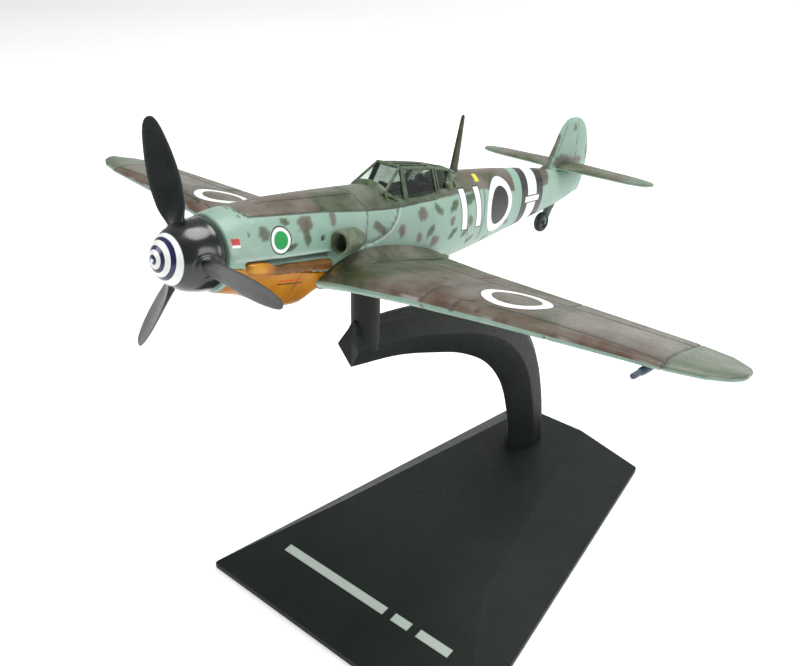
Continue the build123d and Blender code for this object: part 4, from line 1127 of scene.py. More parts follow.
pitot = {
    "x": 58, "footY": 39.9, "around": 26,
    # station, height, radius of the rod
    "rod": [(33.45, -3.6, 0.24), (33.6, -3.6, 0.42), (34.6, -3.6, 0.44), (36.0, -3.6, 0.44),
            (36.2, -3.6, 0.58),
            (38.5, -3.6, 0.6), (40.8, -3.55, 0.54), (41.4, -3.5, 0.22)],
    "bracket": [(-3.6, 0.75), (-3.0, 0.8), (-2.5, 1.1)],        # height, radius
}


def pitotPatches():
    # stepped round rod under the wing, held by a flat bracket that widens upwards
    x, rows, stem = pitot["x"], pitot["rod"], pitot["bracket"]
    rod = tube([(x, y, z) for y, z, r in rows], [r for y, z, r in rows], pitot["around"])
    bracket = tube([(x, pitot["footY"], z) for z, r in stem], [r for z, r in stem], pitot["around"], 0.42)
    return [{"points": shipToFrame(p)} for p in (rod, bracket)]


makePiece("pitotRod", pitotPatches(), plainNode("pitotPaint", linear(92, 104, 126), linear(46, 54, 62)),
          "aircraft", ("pitot_tube",), 50)


coolers = {
    # station, share of the half width, height of the floor
    "rows": [(45.0, 0.95, -8.0), (45.12, 1.0, -8.05), (45.6, 1.0, -8.1), (47, 1.0, -8.1), (50, 1.0, -8.0),
             (53, 0.98, -7.7), (55, 0.95, -7.1), (56, 0.93, -6.6)],
    "x": 15.5, "half": 5.2, "top": -5.2, "power": 0.35, "mouthDeep": 2.4, "along": 60, "around": 72,
}


def coolerPatches():
    # shallow scoop under each wing: rounded box section whose depth rises from the lip and fades aft
    table = np.array(coolers["rows"])
    y = np.linspace(table[0, 0], table[-1, 0], coolers["along"])
    wide, low = (column[:, None] for column in flow(y, table[:, 0], table[:, 1:]).T)
    turn = np.linspace(0, 2 * math.pi, coolers["around"], endpoint=False)
    c, s = np.cos(turn)[None], np.sin(turn)[None]
    high, power = coolers["top"], coolers["power"]
    out = []
    for side in (-1, 1):
        x = coolers["x"] + coolers["half"] * wide * np.sign(c) * np.abs(c) ** power
        z = (high + low) / 2 + (high - low) / 2 * np.sign(s) * np.abs(s) ** power
        body = np.stack([x * side, y[:, None] + 0 * x, z], -1)
        mouth = body[:1]
        middle = mouth.mean(1, keepdims=True)
        lip = middle + (mouth - middle) * [0.9, 1, 0.62]
        body = np.concatenate([lip + [0, coolers["mouthDeep"], 0], lip, body])
        # the two mouth rings are painted dark as shade inside the scoop
        dark = np.zeros(body.shape[:2])
        dark[:2] = 1        # the two rings of the mouth
        out.append({"points": shipToFrame(body), "layers": {"seamAndShade": dark, "rubAndHighlight": dark * 0}})
    return out


makePiece("wingCoolers", coolerPatches(),
          plainPaint("coolerPaint", linear(150, 178, 164), linear(120, 146, 134)),
          "aircraft", ("wing_radiators",), 50)
print("small fittings done")

# canopy: clear panes in a raised frame, with a solid tail fairing
canopy = {
    # station: bottom x, bottom z, shoulder x, shoulder z, top z
    "rows": [(50.9, 4.72, 4.95, 2.5, 10.62, 10.78), (55.0, 4.7, 4.85, 2.45, 10.4, 10.55),
             (60.4, 4.62, 4.75, 2.3, 10.0, 10.15),
             (62.9, 4.5, 4.75, 2.15, 9.75, 9.9), (66.0, 4.25, 4.95, 1.9, 9.25, 9.4),
             (68.9, 3.7, 5.6, 1.5, 8.4, 8.55)],
    "screen": {"base": (3.75, 46.0, 6.8), "top": (2.5, 50.7, 10.7), "low": (4.85, 46.3, 4.7),
               "rearLow": (4.74, 50.7, 4.95)},
    "pane": 0.16, "screenTopRear": (2.52, 50.75), "screenTopRearGlass": 10.75, "screenTopRearBar": 10.85,
    "brow": [(-2, 45.9, 7.45), (0, 45.75, 7.75), (2, 45.9, 7.45)], "sillKink": (4.5, 48.6, 5.7),
    "lowKink": (4.85, 48.4, 4.85),
    # station, half width, half depth of the upright bars, then of the arches over the top
    "uprights": [(51.35, 0.26, 0.24), (60.3, 0.26, 0.2), (61.1, 0.22, 0.2)],
    "arches": [(51.2, 0.3), (60.4, 0.32), (66.0, 0.3)],
    "fairing": (64.3, 69.0), "fairingDrop": 66.4,
    # x, height, radius of the round blister on each side, at one station
    "blister": [(3.2, 6.6, 0.9), (3.75, 6.7, 0.85), (4.1, 6.8, 0.6), (4.25, 6.85, 0.15)], "blisterY": 64.5,
    "centre": (0, 56, 6),                   # a point inside, from which every pane faces away
}


def panePatch(corners, rows=10, cols=14):
    # four corners blended in both directions, given a thickness inwards, closed all round
    a, b, c, d = (np.array(p, float) for p in corners)
    u, v = np.linspace(0, 1, rows)[:, None, None], np.linspace(0, 1, cols)[None, :, None]
    outer = (a * (1 - v) + b * v) * (1 - u) + (d * (1 - v) + c * v) * u
    normal = np.cross(b - a, d - a)
    normal /= np.linalg.norm(normal)
    normal = normal if normal @ ((a + b + c + d) / 4 - canopy["centre"]) > 0 else -normal
    inner = outer - normal * canopy["pane"]
    grid = np.concatenate([outer, inner[:, ::-1]], 1)
    return {"points": shipToFrame(grid)}


def barPatch(path, wide, tall, out):
    # flat rounded bar along a path; out is the way its flat side faces
    path = np.array(path, float)
    length = np.concatenate([[0], np.cumsum(np.linalg.norm(np.diff(path, axis=0), axis=1))])
    at = np.unique(np.concatenate([np.linspace(0, length[-1], max(6, int(length[-1] / 0.5))), length]))
    fine = np.stack([np.interp(at, length, path[:, i]) for i in range(3)], 1)
    way = np.gradient(fine, axis=0)
    way /= np.linalg.norm(way, axis=1, keepdims=True)
    face = np.array(out, float) * np.ones(fine.shape)
    face = face - (face * way).sum(1, keepdims=True) * way
    face /= np.linalg.norm(face, axis=1, keepdims=True)
    across = np.cross(way, face)
    turn = np.linspace(0, 2 * math.pi, 20, endpoint=False)
    c, s = np.cos(turn), np.sin(turn)
    c, s = np.sign(c) * np.abs(c) ** 0.5, np.sign(s) * np.abs(s) ** 0.5
    ends = np.ones(len(fine))
    ends[0] = ends[-1] = 0.8
    acrossShare = (ends * wide)[:, None, None] * c[None, :, None] * across[:, None]
    faceShare = (ends * tall)[:, None, None] * s[None, :, None] * face[:, None]
    return {"points": shipToFrame(fine[:, None] + acrossShare + faceShare)}


rowTable = np.array(canopy["rows"], float)


def flip(p):
    # the same point on the other side
    return (-p[0], p[1], p[2])


def hoodPoint(y, level, side):
    # level 0 bottom rail, 1 shoulder, 2 top middle
    bx, bz, sx, sz, tz = flow(np.array([y]), rowTable[:, 0], rowTable[:, 1:])[0]
    if level <= 1:
        return (side * (bx + (sx - bx) * level), y, bz + (sz - bz) * level)
    return (side * sx * (2 - level), y, sz + (tz - sz) * (level - 1))


def canopyPanes():
    # windscreen, its two quarter lights, then the side and top panes of the hood
    s = canopy["screen"]
    topRear = canopy["screenTopRear"] + (canopy["screenTopRearGlass"],)
    panes = [panePatch([flip(s["base"]), s["base"], s["top"], flip(s["top"])])]
    for side in (1, -1):
        turned = (lambda p: p) if side > 0 else flip
        panes.append(panePatch([turned(p) for p in (s["base"], s["rearLow"], topRear, s["top"])]))
        for front, rear in ((50.9, 60.4), (60.4, 64.4)):
            corners = ((front, 0), (rear, 0), (rear, 1), (front, 1))
            panes.append(panePatch([hoodPoint(y, level, side) for y, level in corners]))
    for front, rear in ((50.9, 60.4), (60.4, 66.0)):
        corners = ((front, -1), (front, 1), (rear, 1), (rear, -1))
        panes.append(panePatch([hoodPoint(y, 1, side) for y, side in corners]))
    return panes


def glassFinish():
    m = Mixer("canopyClear")
    m.shader.inputs["Transmission Weight"].default_value = 1.0
    m.shader.inputs["IOR"].default_value = 1.3
    haze = m.mix(m.fade(m.noise(0.5, 4), 0.4, 0.75), linear(236, 242, 239), linear(216, 226, 221))
    smoke = m.mix(m.fade(m.noise(0.4, 5), 0.35, 0.7), linear(166, 178, 168), linear(150, 162, 152))
    haze = m.mix(m.fade(m.y, 50.9, 51.3), haze, smoke)
    return m.finish(haze, 0.03, 0.12, 3.0, 0.03)


def framePatches():
    # bars of the screen, the rails and uprights of the hood, then its solid tail
    s = canopy["screen"]
    topRear = canopy["screenTopRear"] + (canopy["screenTopRearBar"],)
    bars = [barPatch([flip(s["top"]), s["top"]], 0.36, 0.25, (0, -0.5, 1))]
    bars.append(barPatch([flip(s["base"])] + canopy["brow"] + [s["base"]], 0.8, 0.26, (0, -0.6, 0.75)))
    for side in (1, -1):
        turned = (lambda p: p) if side > 0 else flip
        outward = (side * 1.0, 0.0, 0.35)
        for path, wide, tall, face in (
            ((s["low"], s["base"], s["top"]), 0.28, 0.24, (side * 0.8, -0.6, 0.3)),
            ((s["base"], canopy["sillKink"], s["rearLow"]), 0.34, 0.2, outward),
            ((s["low"], canopy["lowKink"], s["rearLow"]), 0.5, 0.26, outward),
            ((s["rearLow"], topRear), 0.3, 0.26, outward),
        ):
            bars.append(barPatch([turned(p) for p in path], wide, tall, face))
        for y, wide, tall in canopy["uprights"]:
            bars.append(barPatch([hoodPoint(y, 0, side), hoodPoint(y, 1, side)], wide, tall, outward))
        for level, ys, wide, tall, face in (
            (0.06, (50.9, 55, 60.4, 62.9, 65), 0.34, 0.24, outward),
            (0.98, (50.9, 55, 60.4, 62.9, 66, 68.7), 0.3, 0.26, (side * 0.6, 0, 0.8)),
            (1.62, (50.9, 55, 60.4), 0.16, 0.16, (0, 0, 1)),
        ):
            bars.append(barPatch([hoodPoint(y, level, side) for y in ys], wide, tall, face))
    for y, wide in canopy["arches"]:
        arch = [hoodPoint(y, v, -1) for v in (0.98, 1.5)] + [hoodPoint(y, v, 1) for v in (2.0, 1.5, 0.98)]
        bars.append(barPatch(arch, wide, 0.22, (0, 0, 1)))
    # solid tail fairing: hood section carried aft and down on to the spine
    y = np.linspace(*canopy["fairing"], 24)
    section = flow(y, rowTable[:, 0], rowTable[:, 1:])
    levels = np.linspace(0, 1, 22)
    sideRow = lambda row, sign: np.stack([sign * (row[0] + (row[2] - row[0]) * levels), 0 * levels,
                                          row[1] + (row[3] - row[1]) * levels], 1)
    arch = np.linspace(-1, 1, 9)[1:-1]
    rows = []
    for at, row in zip(y, section):
        # the glass top reaches further aft than its sides
        drop = ease(np.array([canopy["fairingDrop"] - at]), 0, 2.1)[0]
        left, right = sideRow(row, 1), sideRow(row, -1)[::-1]
        left[:, 2] -= drop * np.clip(levels - 0.55, 0, 1) * 7
        right[:, 2] -= drop * np.clip(levels[::-1] - 0.55, 0, 1) * 7
        top = np.stack([-arch * row[2], 0 * arch, row[3] + (row[4] - row[3]) * (1 - arch**2) - drop * 3.1], 1)
        foot = [[sign * row[0] * 0.7, 0, row[1] - 1.2] for sign in (-1, 1)]
        ring = np.concatenate([left, top, right, foot])
        ring[:, 1] = at
        rows.append(ring)
    bars.append({"points": shipToFrame(np.array(rows))})
    # round blister low on each side of the fairing
    for side in (1, -1):
        path = [(side * x, canopy["blisterY"], z) for x, z, r in canopy["blister"]]
        bars.append({"points": shipToFrame(tube(path, [r for x, z, r in canopy["blister"]], 30))})
    return bars


makePiece("canopyPanes", canopyPanes(), glassFinish(), "aircraft", ("canopy_glazing",), 30)
makePiece("canopyFrame", framePatches(),
          plainNode("framePaint", linear(96, 114, 84), linear(66, 82, 58), 0.6, 0.3, 0.45, 0, 0.15),
          "aircraft", ("canopy_frame",), 50)
print("canopy done")

# propeller and spinner
spinner = {
    "profile": [(2.5, 0.02), (2.53, 0.45), (2.7, 1.0), (3.0, 1.62), (3.6, 2.5), (4.4, 3.3), (5.5, 4.12),
                (6.8, 4.82), (8.2, 5.2), (9.6, 5.4), (10.6, 5.46),
                (10.76, 5.4), (10.8, 5.2)],
    "whiteTo": 3.72, "armTo": 3.2, "perTurn": 1.22, "phase": 0.03,
    "inside": [(10.8, 5.0), (9.2, 4.95), (8.9, 3.7), (6.6, 3.5)],       # station, radius of the hollow's wall
    "rootRadius": 4.9, "rootY": 7.9, "ring": 1.75, "ringWidth": 0.22, "ringDepth": 0.13,
    "firstBlade": -2.5, "bladeCount": 3, "along": 90, "around": 180,
}


def spinnerPatches():
    # profile turned round the shaft, with a shallow ring pressed in round each blade's root
    profile = np.array(spinner["profile"], float)
    length = np.concatenate([[0], np.cumsum(np.hypot(*np.diff(profile, axis=0).T))])
    y, radius = flow(np.linspace(0, length[-1], spinner["along"]), length, profile).T
    radius = np.maximum(radius, 0.02)
    wall = np.array(spinner["inside"])
    y, radius = np.concatenate([y, wall[:, 0]]), np.concatenate([radius, wall[:, 1]])
    turn = np.linspace(0, 2 * math.pi, spinner["around"], endpoint=False)
    x, z = radius[:, None] * np.cos(turn)[None], radius[:, None] * np.sin(turn)[None]
    points = np.stack([x, 0 * x + y[:, None], z], -1)
    dents = 0 * x
    for k in range(spinner["bladeCount"]):
        angle = math.radians(spinner["firstBlade"] + 360 / spinner["bladeCount"] * k)
        out = spinner["rootRadius"]
        root = np.array([math.cos(angle) * out, spinner["rootY"], math.sin(angle) * out])
        away = np.linalg.norm(points - root, axis=-1)
        dents += np.exp(-(((away - spinner["ring"]) / spinner["ringWidth"]) ** 2))
    inward = points * [-1, 0, -1]
    inward /= np.maximum(np.linalg.norm(inward, axis=-1, keepdims=True), 1e-6)
    pressed = points + inward * spinner["ringDepth"] * dents[..., None]
    return [{"points": shipToFrame(pressed), "layers": {"seamAndShade": dents}}]


def spinnerPaint():
    m = Mixer("spinnerPaint")
    radius = m.reach(m.x, m.z, 0.0, 0.0)
    angle = m.sum("ARCTAN2", m.z, m.x)
    # spiral: the winding turns once for each equal step of radius
    inTurns = m.sum("MULTIPLY_ADD", radius, -1 / spinner["perTurn"], spinner["phase"])
    wound = m.sum("FRACT", m.sum("MULTIPLY_ADD", angle, 1 / (2 * math.pi), inTurns))
    arm = m.sum("MULTIPLY", m.fade(wound, 0.5, 0.54), m.fade(wound, 0.995, 0.955))
    arm = m.sum("MULTIPLY", arm, m.fade(radius, spinner["armTo"] + 0.12, spinner["armTo"]))
    gloss = m.mix(m.fade(m.noise(0.4, 4), 0.35, 0.7), linear(24, 29, 26), linear(38, 44, 40))
    winding = m.mix(m.fade(m.noise(1.1, 3), 0.4, 0.6), paint["navy"], linear(30, 40, 96))
    cap = m.mix(arm, paint["white"], winding)
    colour = m.mix(m.fade(radius, spinner["whiteTo"] - 0.05, spinner["whiteTo"] + 0.05), cap, gloss)
    colour = m.mix(m.sum("MULTIPLY", m.fade(m.layer("seamAndShade"), 0.5, 1.0), 0.5), colour, linear(10, 12, 10))
    return m.finish(colour, 0.16, 0.27, 4.0, 0.08, 0.0, 0.5)


makePiece("spinnerCone", spinnerPatches(), spinnerPaint(), "propeller", ("spinner",), 50)

blade = {
    # reach, chord, thickness, twist, sweep of the mid line
    "rows": [(1.5, 2.3, 2.2, 30), (3.6, 2.3, 2.1, 31), (4.6, 2.4, 1.9, 32), (5.6, 3.0, 1.6, 33),
             (7, 4.0, 1.3, 34), (9, 4.65, 1.12, 32), (11, 4.9, 1.0, 30),
             (13, 4.75, 0.9, 28), (15, 4.4, 0.8, 26), (17, 3.75, 0.68, 24), (18.6, 3.0, 0.56, 23),
             (19.6, 2.15, 0.46, 22), (20.1, 1.3, 0.34, 21),
             (20.28, 0.6, 0.2, 21)],
    "tip": 20.28, "tipFrom": 18.6, "cuffTo": (3.6, 8.0), "camber": 0.35,
    "starts": (-2.5, 117.5, -122.5),
    "hub": [(6.2, 1.0), (6.25, 2.45), (6.35, 2.58), (7.5, 2.6), (8.9, 2.6), (9.0, 2.5), (9.0, 1.0)],
}


def bladePatches():
    # lens sections stacked along each blade, turned by the twist, then carried round the hub
    table = np.array(blade["rows"], float)
    start, tipFrom, tip = table[0, 0], blade["tipFrom"], blade["tip"]
    closer = np.sin(np.linspace(0, 1, 26)[1:] * math.pi / 2)         # rows crowd together towards the tip
    reach = np.concatenate([np.linspace(start, tipFrom, 90), tipFrom + (tip - tipFrom) * closer])
    chord, thick, twist = flow(reach, table[:, 0], table[:, 1:]).T
    turn = np.linspace(0, 2 * math.pi, 64, endpoint=False)
    thinness = ease(reach, *blade["cuffTo"])[:, None]        # 0 at the round cuff, 1 on the flat blade
    c, s = np.cos(turn)[None], np.sin(turn)[None]
    camber = blade["camber"] * thick[:, None] * (1 - c**2) * thinness
    a = chord[:, None] / 2 * c
    b = thick[:, None] / 2 * s * (1 - 0.25 * thinness * (1 + c) / 2) + camber
    t = np.radians(twist)[:, None]
    tangent, aft = a * np.cos(t) + b * np.sin(t), b * np.cos(t) - a * np.sin(t)
    patches = []
    for start in blade["starts"]:
        angle = math.radians(start)
        out = np.array([math.cos(angle), 0, math.sin(angle)])
        way = np.array([-math.sin(angle), 0, math.cos(angle)])
        points = reach[:, None, None] * out + tangent[..., None] * way
        points = points + (hubStation - 0.1 + aft)[..., None] * np.array([0, 1, 0])
        # painted highlight along both edges of each blade, outside the cuff
        edge = np.abs(c) ** 8 * ease(reach, 6, 9)[:, None]
        patches.append({"points": shipToFrame(points), "layers": {"edge": edge}})
    table = np.array(blade["hub"])
    x, z = table[:, 1:] * np.cos(turn)[None], table[:, 1:] * np.sin(turn)[None]
    hub = np.stack([x, 0 * x + table[:, :1], z], -1)
    patches.append({"points": shipToFrame(hub), "layers": {"edge": 0 * x}})
    return patches


def bladePaint():
    m = Mixer("bladePlastic")
    colour = m.mix(m.fade(m.noise(0.35, 5), 0.3, 0.72), linear(26, 32, 30), linear(38, 46, 44))
    # painted highlight on the blade edges
    colour = m.mix(m.sum("MULTIPLY", m.layer("edge"), 0.5), colour, linear(92, 100, 98))
    dust = m.sum("MULTIPLY", m.fade(m.noise(1.6, 7, None, 0.75), 0.62, 0.74), 0.35)
    colour = m.mix(dust, colour, linear(110, 112, 106))
    return m.finish(colour, 0.26, 0.4, 5.0, 0.15, 0.0, 0.1, 0.35)


makePiece("propellerBlades", bladePatches(), bladePaint(), "propeller",
          ("propeller_blades",), 50)
print("propeller done")

# stand: faceted base and kite-section arm
base = {
    "rim": [(-13.9, 58.5), (27.0, 58.5), (40.7, -36.8), (-27.6, -36.8)],
    "plateau": [(-6.8, 58.5), (10.2, 58.5), (25.0, -7.1), (-17.8, -7.1)],
    "height": 5.4, "rimHeight": 1.5, "round": 0.5,
    # outline, how far in from it, height: up the inside, round the foot and up the rim
    "steps": [("plateau", 2.2, 3.8), ("rim", 2.0, 1.0), ("rim", 1.7, 0.1), ("rim", 1.6, 0.0),
              ("rim", 0.15, 0.0),
              ("rim", 0.03, 0.06), ("rim", 0.0, 0.2), ("rim", 0.0, 1.3), ("rim", 0.04, 1.42)],
    # how far in from the plateau's outline, how far below its top
    "topSteps": [(0.05, 0.035), (0.3, 0.008), (0.7, 0), (3, 0), (6, 0), (8, 0)],
    "boss": [(-4.7, 38.5), (4.7, 38.5), (4.7, 49.9), (-4.7, 49.9)], "bossLevels": (1.8, 5.0),
    # station from, to, and x from, to of the printed bars
    "printed": (-25.0, -23.0), "printedBars": [(-17.6, 11.4), (13.6, 18.0), (20.2, 28.2)],
}


def roundedOutline(corners, radius, perSide=30, perCorner=7):
    # straight sides joined by small curves through their corners
    corners, out = np.array(corners, float), []
    for i in range(len(corners)):
        here, before, after = corners[i], corners[i - 1], corners[(i + 1) % len(corners)]
        a = here + (before - here) / np.linalg.norm(before - here) * radius
        b = here + (after - here) / np.linalg.norm(after - here) * radius
        t = np.linspace(0, 1, perCorner)[:, None]
        out.append((1 - t) ** 2 * a + 2 * t * (1 - t) * here + t**2 * b)
        following = corners[(i + 1) % len(corners)]
        c = following + (here - following) / np.linalg.norm(here - following) * radius
        out.append(b + (c - b) * np.linspace(0, 1, perSide)[1:-1, None])
    return np.concatenate(out)


def basePatches():
    # outlines stacked from the hollow underside, round the rim, up the facets and over the plateau
    lines = {k: roundedOutline(base[k], base["round"]) for k in ("rim", "plateau")}
    rim, top = lines["rim"], lines["plateau"]

    def shrink(line, by):
        # the outline drawn in towards its middle
        away = line - line.mean(0)
        return line.mean(0) + away * (1 - by / np.abs(away).max(0))
    level = lambda line, z: np.concatenate([line, np.full((len(line), 1), z)], 1)
    rows = [level(shrink(lines[key], by), z) for key, by, z in base["steps"]]
    lift = base["height"] - base["rimHeight"]
    for share in np.concatenate([[0.012], np.linspace(0.03, 0.985, 40)]):
        rows.append(level(rim * (1 - share) + top * share, base["rimHeight"] + lift * share - 0.02))
    for by, down in base["topSteps"]:
        rows.append(level(shrink(top, by), base["height"] - down))
    boss = roundedOutline(base["boss"], base["round"], 8)
    hub = [level(boss, z) for z in base["bossLevels"]]
    return [{"points": standToFrame(np.array(rows))}, {"points": standToFrame(np.array(hub))}]


def standPaint(name, tones, rule=False):
    m = Mixer(name, False)
    colour = m.mix(m.fade(m.noise(0.12, 6), 0.3, 0.72), tones[0], tones[1])
    scuffs = m.fade(m.noise(0.5, 8, (1.0, 0.35, 1.0), 0.75), 0.63, 0.72)
    colour = m.mix(m.sum("MULTIPLY", scuffs, 0.22), colour, linear(96, 104, 98))
    dust = m.fade(m.noise(2.6, 4, None, 0.8), 0.68, 0.76)
    colour = m.mix(m.sum("MULTIPLY", dust, 0.4), colour, linear(128, 132, 126))
    if rule:
        # three plain pale printed bars along the front slope
        row = m.band(m.y, *base["printed"], 0.08)
        for low, high in base["printedBars"]:
            bar = m.sum("MULTIPLY", row, m.band(m.x, low, high, 0.08))
            colour = m.mix(bar, colour, linear(190, 200, 194))
    return m.finish(colour, 0.45, 0.6, 3.0, 0.3, 0.0, 0.0, 0.22)


makePiece("standBase", basePatches(),
          standPaint("basePlastic", (linear(31, 38, 32), linear(37, 44, 38)), True),
          "stand", ("base_shell",), 12)

arm = {
    # lower ridge (y, z), upper ridge (y, z), half width, share of it at the shoulder
    "rows": [((-6.2, -2.0), (6.3, -2.0), 4.1, 0.97), ((-6.2, 0), (6.3, 0), 4.1, 0.97),
             ((-6.3, 5.8), (6.0, 5.8), 4.0, 0.97),
             ((-8.3, 14.3), (4.3, 17), 3.9, 0.92), ((-11.9, 23.1), (0.6, 28.2), 3.85, 0.85),
             ((-18.6, 31.4), (-7, 38.6), 3.8, 0.75),
             ((-28.6, 38.2), (-18.6, 46.8), 3.7, 0.62), ((-40.4, 43.3), (-32.5, 52.4), 3.4, 0.5),
             ((-50.3, 46.9), (-45.6, 56.3), 3.1, 0.42),
             ((-64.7, 50.3), (-63.9, 59.5), 2.62, 0.34)],
    "crease": 0.48, "shoulder": 0.84, "flat": 0.45, "footY": 43.2, "postY": -17.5, "postRadius": 2.7,
    "postBottom": 58.6,
    "lean": 1.2, "spigot": 1.9, "spigotTop": 79.2, "bellyZ": 74.18, "along": 150, "around": 96,
}


def armPatches():
    # seven-cornered section carried up the arm, its corners slightly softened
    table = np.array([[l[0], l[1], h[0], h[1], w, s] for l, h, w, s in arm["rows"]], float)
    mids = (table[:, 0:2] + table[:, 2:4]) / 2
    length = np.concatenate([[0], np.cumsum(np.hypot(*np.diff(mids, axis=0).T))])
    values = flow(np.linspace(0, length[-1], arm["along"]), length, table)
    low, high, wide, share = values[:, 0:2], values[:, 2:4], values[:, 4], values[:, 5]
    depth = np.array([0, arm["crease"], arm["shoulder"], 1, 1, arm["shoulder"], arm["crease"]])
    upper, flat = wide * share, wide * share * arm["flat"]
    corners = np.stack([0 * wide, wide, upper, flat, -flat, -upper, -wide], 1)
    ring = []
    count = len(depth)
    for k in range(count):
        before, after = (k - 1) % count, (k + 1) % count
        for t, other in ((0.06, before), (0.0, k), (0.06, after), (0.35, after), (0.65, after)):
            soft = 0.012 if other == k else 0.0
            x = corners[:, k] * (1 - t) + corners[:, other] * t
            d = depth[k] * (1 - t) + depth[other] * t
            ring.append(np.stack([x * (1 - soft), 0 * x + d + soft * (0.5 - d)], 1))
    ring = np.stack(ring, 1)
    span = high - low
    y = arm["footY"] + low[:, :1] + ring[..., 1] * span[:, :1]
    z = base["height"] + low[:, 1:2] + ring[..., 1] * span[:, 1:2]
    bar = np.stack([ring[..., 0], y, z], -1)
    # the free end is pushed out in the middle
    bar[-1, :, 1] -= arm["lean"] * (1 - np.abs(2 * ring[-1, :, 1] - 1))
    # round post with a shoulder that follows the sloping belly, then the spigot
    turn = np.linspace(0, 2 * math.pi, arm["around"], endpoint=False)
    post, spigot, slope = arm["postRadius"], arm["spigot"], math.tan(noseUp)

    def circle(r, z, tilt=0.0):
        along = r * np.sin(turn)
        return np.stack([r * np.cos(turn), arm["postY"] + along, z - tilt * along], 1)
    rows = [circle(r, z) for r,
            z in ((post * 0.98, arm["postBottom"]), (post, 60.0), (post, 65.0), (post, 70.0))]
    for r, down in ((post, 1.35), (post * 0.97, 1.15), (post * 0.93, 1.1), (spigot + 0.2, 1.1)):
        rows.append(circle(r, arm["bellyZ"] - down, slope))
    rows += [circle(r, z) for r, z in ((spigot, 73.8), (spigot, 78.9), (spigot - 0.2, arm["spigotTop"]))]
    return [{"points": standToFrame(bar)}, {"points": standToFrame(np.array(rows))}]


makePiece("displayArm", armPatches(), standPaint("armPlastic", (linear(33, 38, 32), linear(40, 46, 40))),
          "stand", ("display_arm",), 20)
print("stand done")

# finishes for the CAD pieces that stay as they are
finishes = {
    "arm_screw": plainNode("screwSteel", linear(190, 192, 196), linear(150, 152, 156), 1.5, 0.25, 0.4, 1.0,
                           0, False),
    "wing_screws": plainNode("bellyScrewSteel", linear(186, 188, 190), linear(140, 142, 146), 1.5, 0.25,
                             0.4, 1.0),
    "stand_socket": plainNode("socketPlastic", linear(48, 52, 48), linear(30, 34, 32)),
    "cockpit_tub": plainNode("cockpitPlastic", linear(74, 80, 74), linear(48, 54, 50)),
    "pilot_seat": plainNode("seatPlastic", linear(84, 80, 68), linear(54, 52, 46)),
    "instrument_panel": plainNode("panelPlastic", linear(58, 62, 60), linear(32, 36, 36)),
    "control_stick": plainNode("stickPlastic", linear(46, 48, 46), linear(28, 30, 30)),
    "head_armour": plainNode("armourPlastic", linear(92, 98, 88), linear(58, 68, 60)),
    "shaft_bush": plainNode("bushPlastic", linear(60, 62, 58), linear(40, 42, 40)),
    "prop_shaft": plainNode("shaftSteel", linear(196, 198, 200), linear(160, 162, 166), 1.5, 0.2, 0.35, 1.0),
    "spinner_backplate": plainNode("backplatePlastic", linear(40, 45, 42), linear(26, 30, 28), 0.8, 0.25,
                                   0.4),
}
for node, finish in finishes.items():
    shown = frame["nodes"][node]
    shown.data.materials.clear()
    shown.data.materials.append(finish)

# floor, light and camera
stage = {
    "halfWidth": 1.6, "front": -1.0, "flatRun": 1.6, "wholeRun": 2.6, "curve": 0.45, "curveRun": 0.7,
    "wallFrom": 2.5, "wallRise": 3, "drop": 0.00002, "glow": 0.34, "worldLight": 0.34,
    # name, place, aim, size, power, tint
    "lights": [
        ("topSoftbox", (0.05, 0.15, 0.75), (0, 0, 0.06), 0.55, 4.7, (1, 1, 1)),
        ("leftSoftbox", (-0.45, -0.5, 0.5), (0, 0, 0.07), 0.5, 2.0, (1, 1, 1)),
        ("rightSoftbox", (0.7, 0.1, 0.35), (0, 0, 0.06), 0.45, 1.8, (0.96, 0.98, 1.0)),
    ],
}
view = {"eye": (95.11, -122.26, 136.22), "azimuth": 39.62, "elevation": 27.85, "roll": 1.27, "lens": 38.51,
        "sensor": 36}


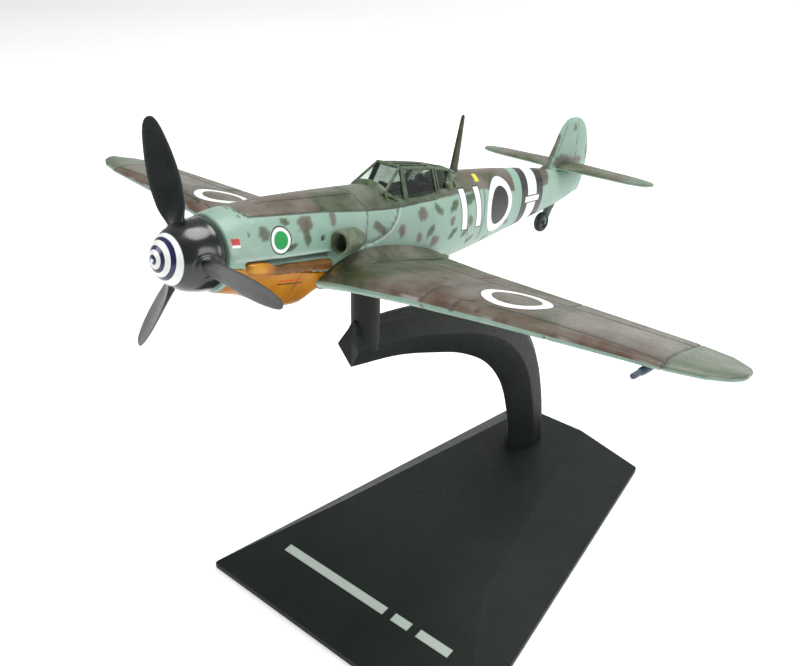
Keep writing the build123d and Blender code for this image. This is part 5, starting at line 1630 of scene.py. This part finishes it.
def studio():
    # pale sweep: flat floor that curves up far behind
    m = Mixer("studioFloor", False)
    cloth = m.mix(m.fade(m.noise(0.004, 3), 0.3, 0.7), (0.86, 0.87, 0.87, 1), (0.9, 0.9, 0.9, 1))
    m.finish(cloth, 0.55, 0.7, 0.5, 0.05)
    m.shader.inputs["Emission Color"].default_value = (1.0, 1.0, 1.0, 1.0)
    m.shader.inputs["Emission Strength"].default_value = stage["glow"]
    u = np.linspace(-1, 1, 30)
    v = np.linspace(0, 1, 60)
    x = u[None] * stage["halfWidth"] + 0 * v[:, None]
    run, flat, curve = v * stage["wholeRun"], stage["flatRun"], stage["curve"]
    bend = np.clip((run - flat) / stage["curveRun"], 0, math.pi / 2)
    y = np.where(run < flat, stage["front"] + run, stage["front"] + flat + curve * np.sin(bend))
    wall = np.clip(run - stage["wallFrom"], 0, None) * stage["wallRise"]
    z = np.where(run < flat, 0, curve * (1 - np.cos(bend)) + wall)
    points = np.stack([x, y[:, None] + 0 * x, z[:, None] + 0 * x - stage["drop"]], -1)
    mesh = bpy.data.meshes.new("studioSweep")
    rows, cols = points.shape[:2]
    index = np.arange(rows * cols).reshape(rows, cols)
    quads = np.stack([index[:-1, :-1], index[:-1, 1:], index[1:, 1:], index[1:, :-1]], -1).reshape(-1, 4)
    mesh.from_pydata(points.reshape(-1, 3).tolist(), [], quads.tolist())
    mesh.shade_smooth()
    floor = bpy.data.objects.new("studioSweep", mesh)
    mesh.materials.append(m.material)
    bpy.context.scene.collection.objects.link(floor)


def place(axes, spot):
    # an object's matrix from its three axes and its place in metres
    return Matrix([list(row) for row in np.column_stack([*axes, spot])] + [[0, 0, 0, 1]])


def softLight(name, spot, aim, size, power, tint):
    # a round soft lamp turned to face a point
    data = bpy.data.lights.new(name, "AREA")
    data.shape, data.size, data.energy, data.color = "DISK", size, power, tint
    lamp = bpy.data.objects.new(name, data)
    bpy.context.scene.collection.objects.link(lamp)
    back = np.array(spot, float) - np.array(aim, float)
    back /= np.linalg.norm(back)
    side = np.cross([0.0, 0.0, 1.0], back)
    side /= np.linalg.norm(side)
    up = np.cross(back, side)
    lamp.matrix_world = place((side, up, back), np.array(spot, float))


def camera():
    # the eye's place in mm, then azimuth, elevation and roll in degrees
    a, e, r = (math.radians(view[k]) for k in ("azimuth", "elevation", "roll"))
    back = np.array([math.sin(a) * math.cos(e), -math.cos(a) * math.cos(e), math.sin(e)])
    right = np.cross(-back, [0, 0, 1])
    right /= np.linalg.norm(right)
    up = np.cross(right, -back)
    across, over = right * math.cos(r) + up * math.sin(r), up * math.cos(r) - right * math.sin(r)
    data = bpy.data.cameras.new("viewCamera")
    data.sensor_width, data.lens, data.clip_start, data.clip_end = view["sensor"], view["lens"], 0.005, 20
    eyePiece = bpy.data.objects.new("viewCamera", data)
    bpy.context.scene.collection.objects.link(eyePiece)
    eyePiece.matrix_world = place((across, over, back), np.array(view["eye"]) / 1000)
    bpy.context.scene.camera = eyePiece


studio()
for light in stage["lights"]:
    softLight(*light)
camera()
world = bpy.data.worlds.new("studioWorld")
world.use_nodes = True
world.node_tree.nodes["Background"].inputs[0].default_value = (1, 1, 1, 1)
world.node_tree.nodes["Background"].inputs[1].default_value = stage["worldLight"]
bpy.context.scene.world = world
bpy.context.scene.view_settings.view_transform = "Standard"
print("studio done")
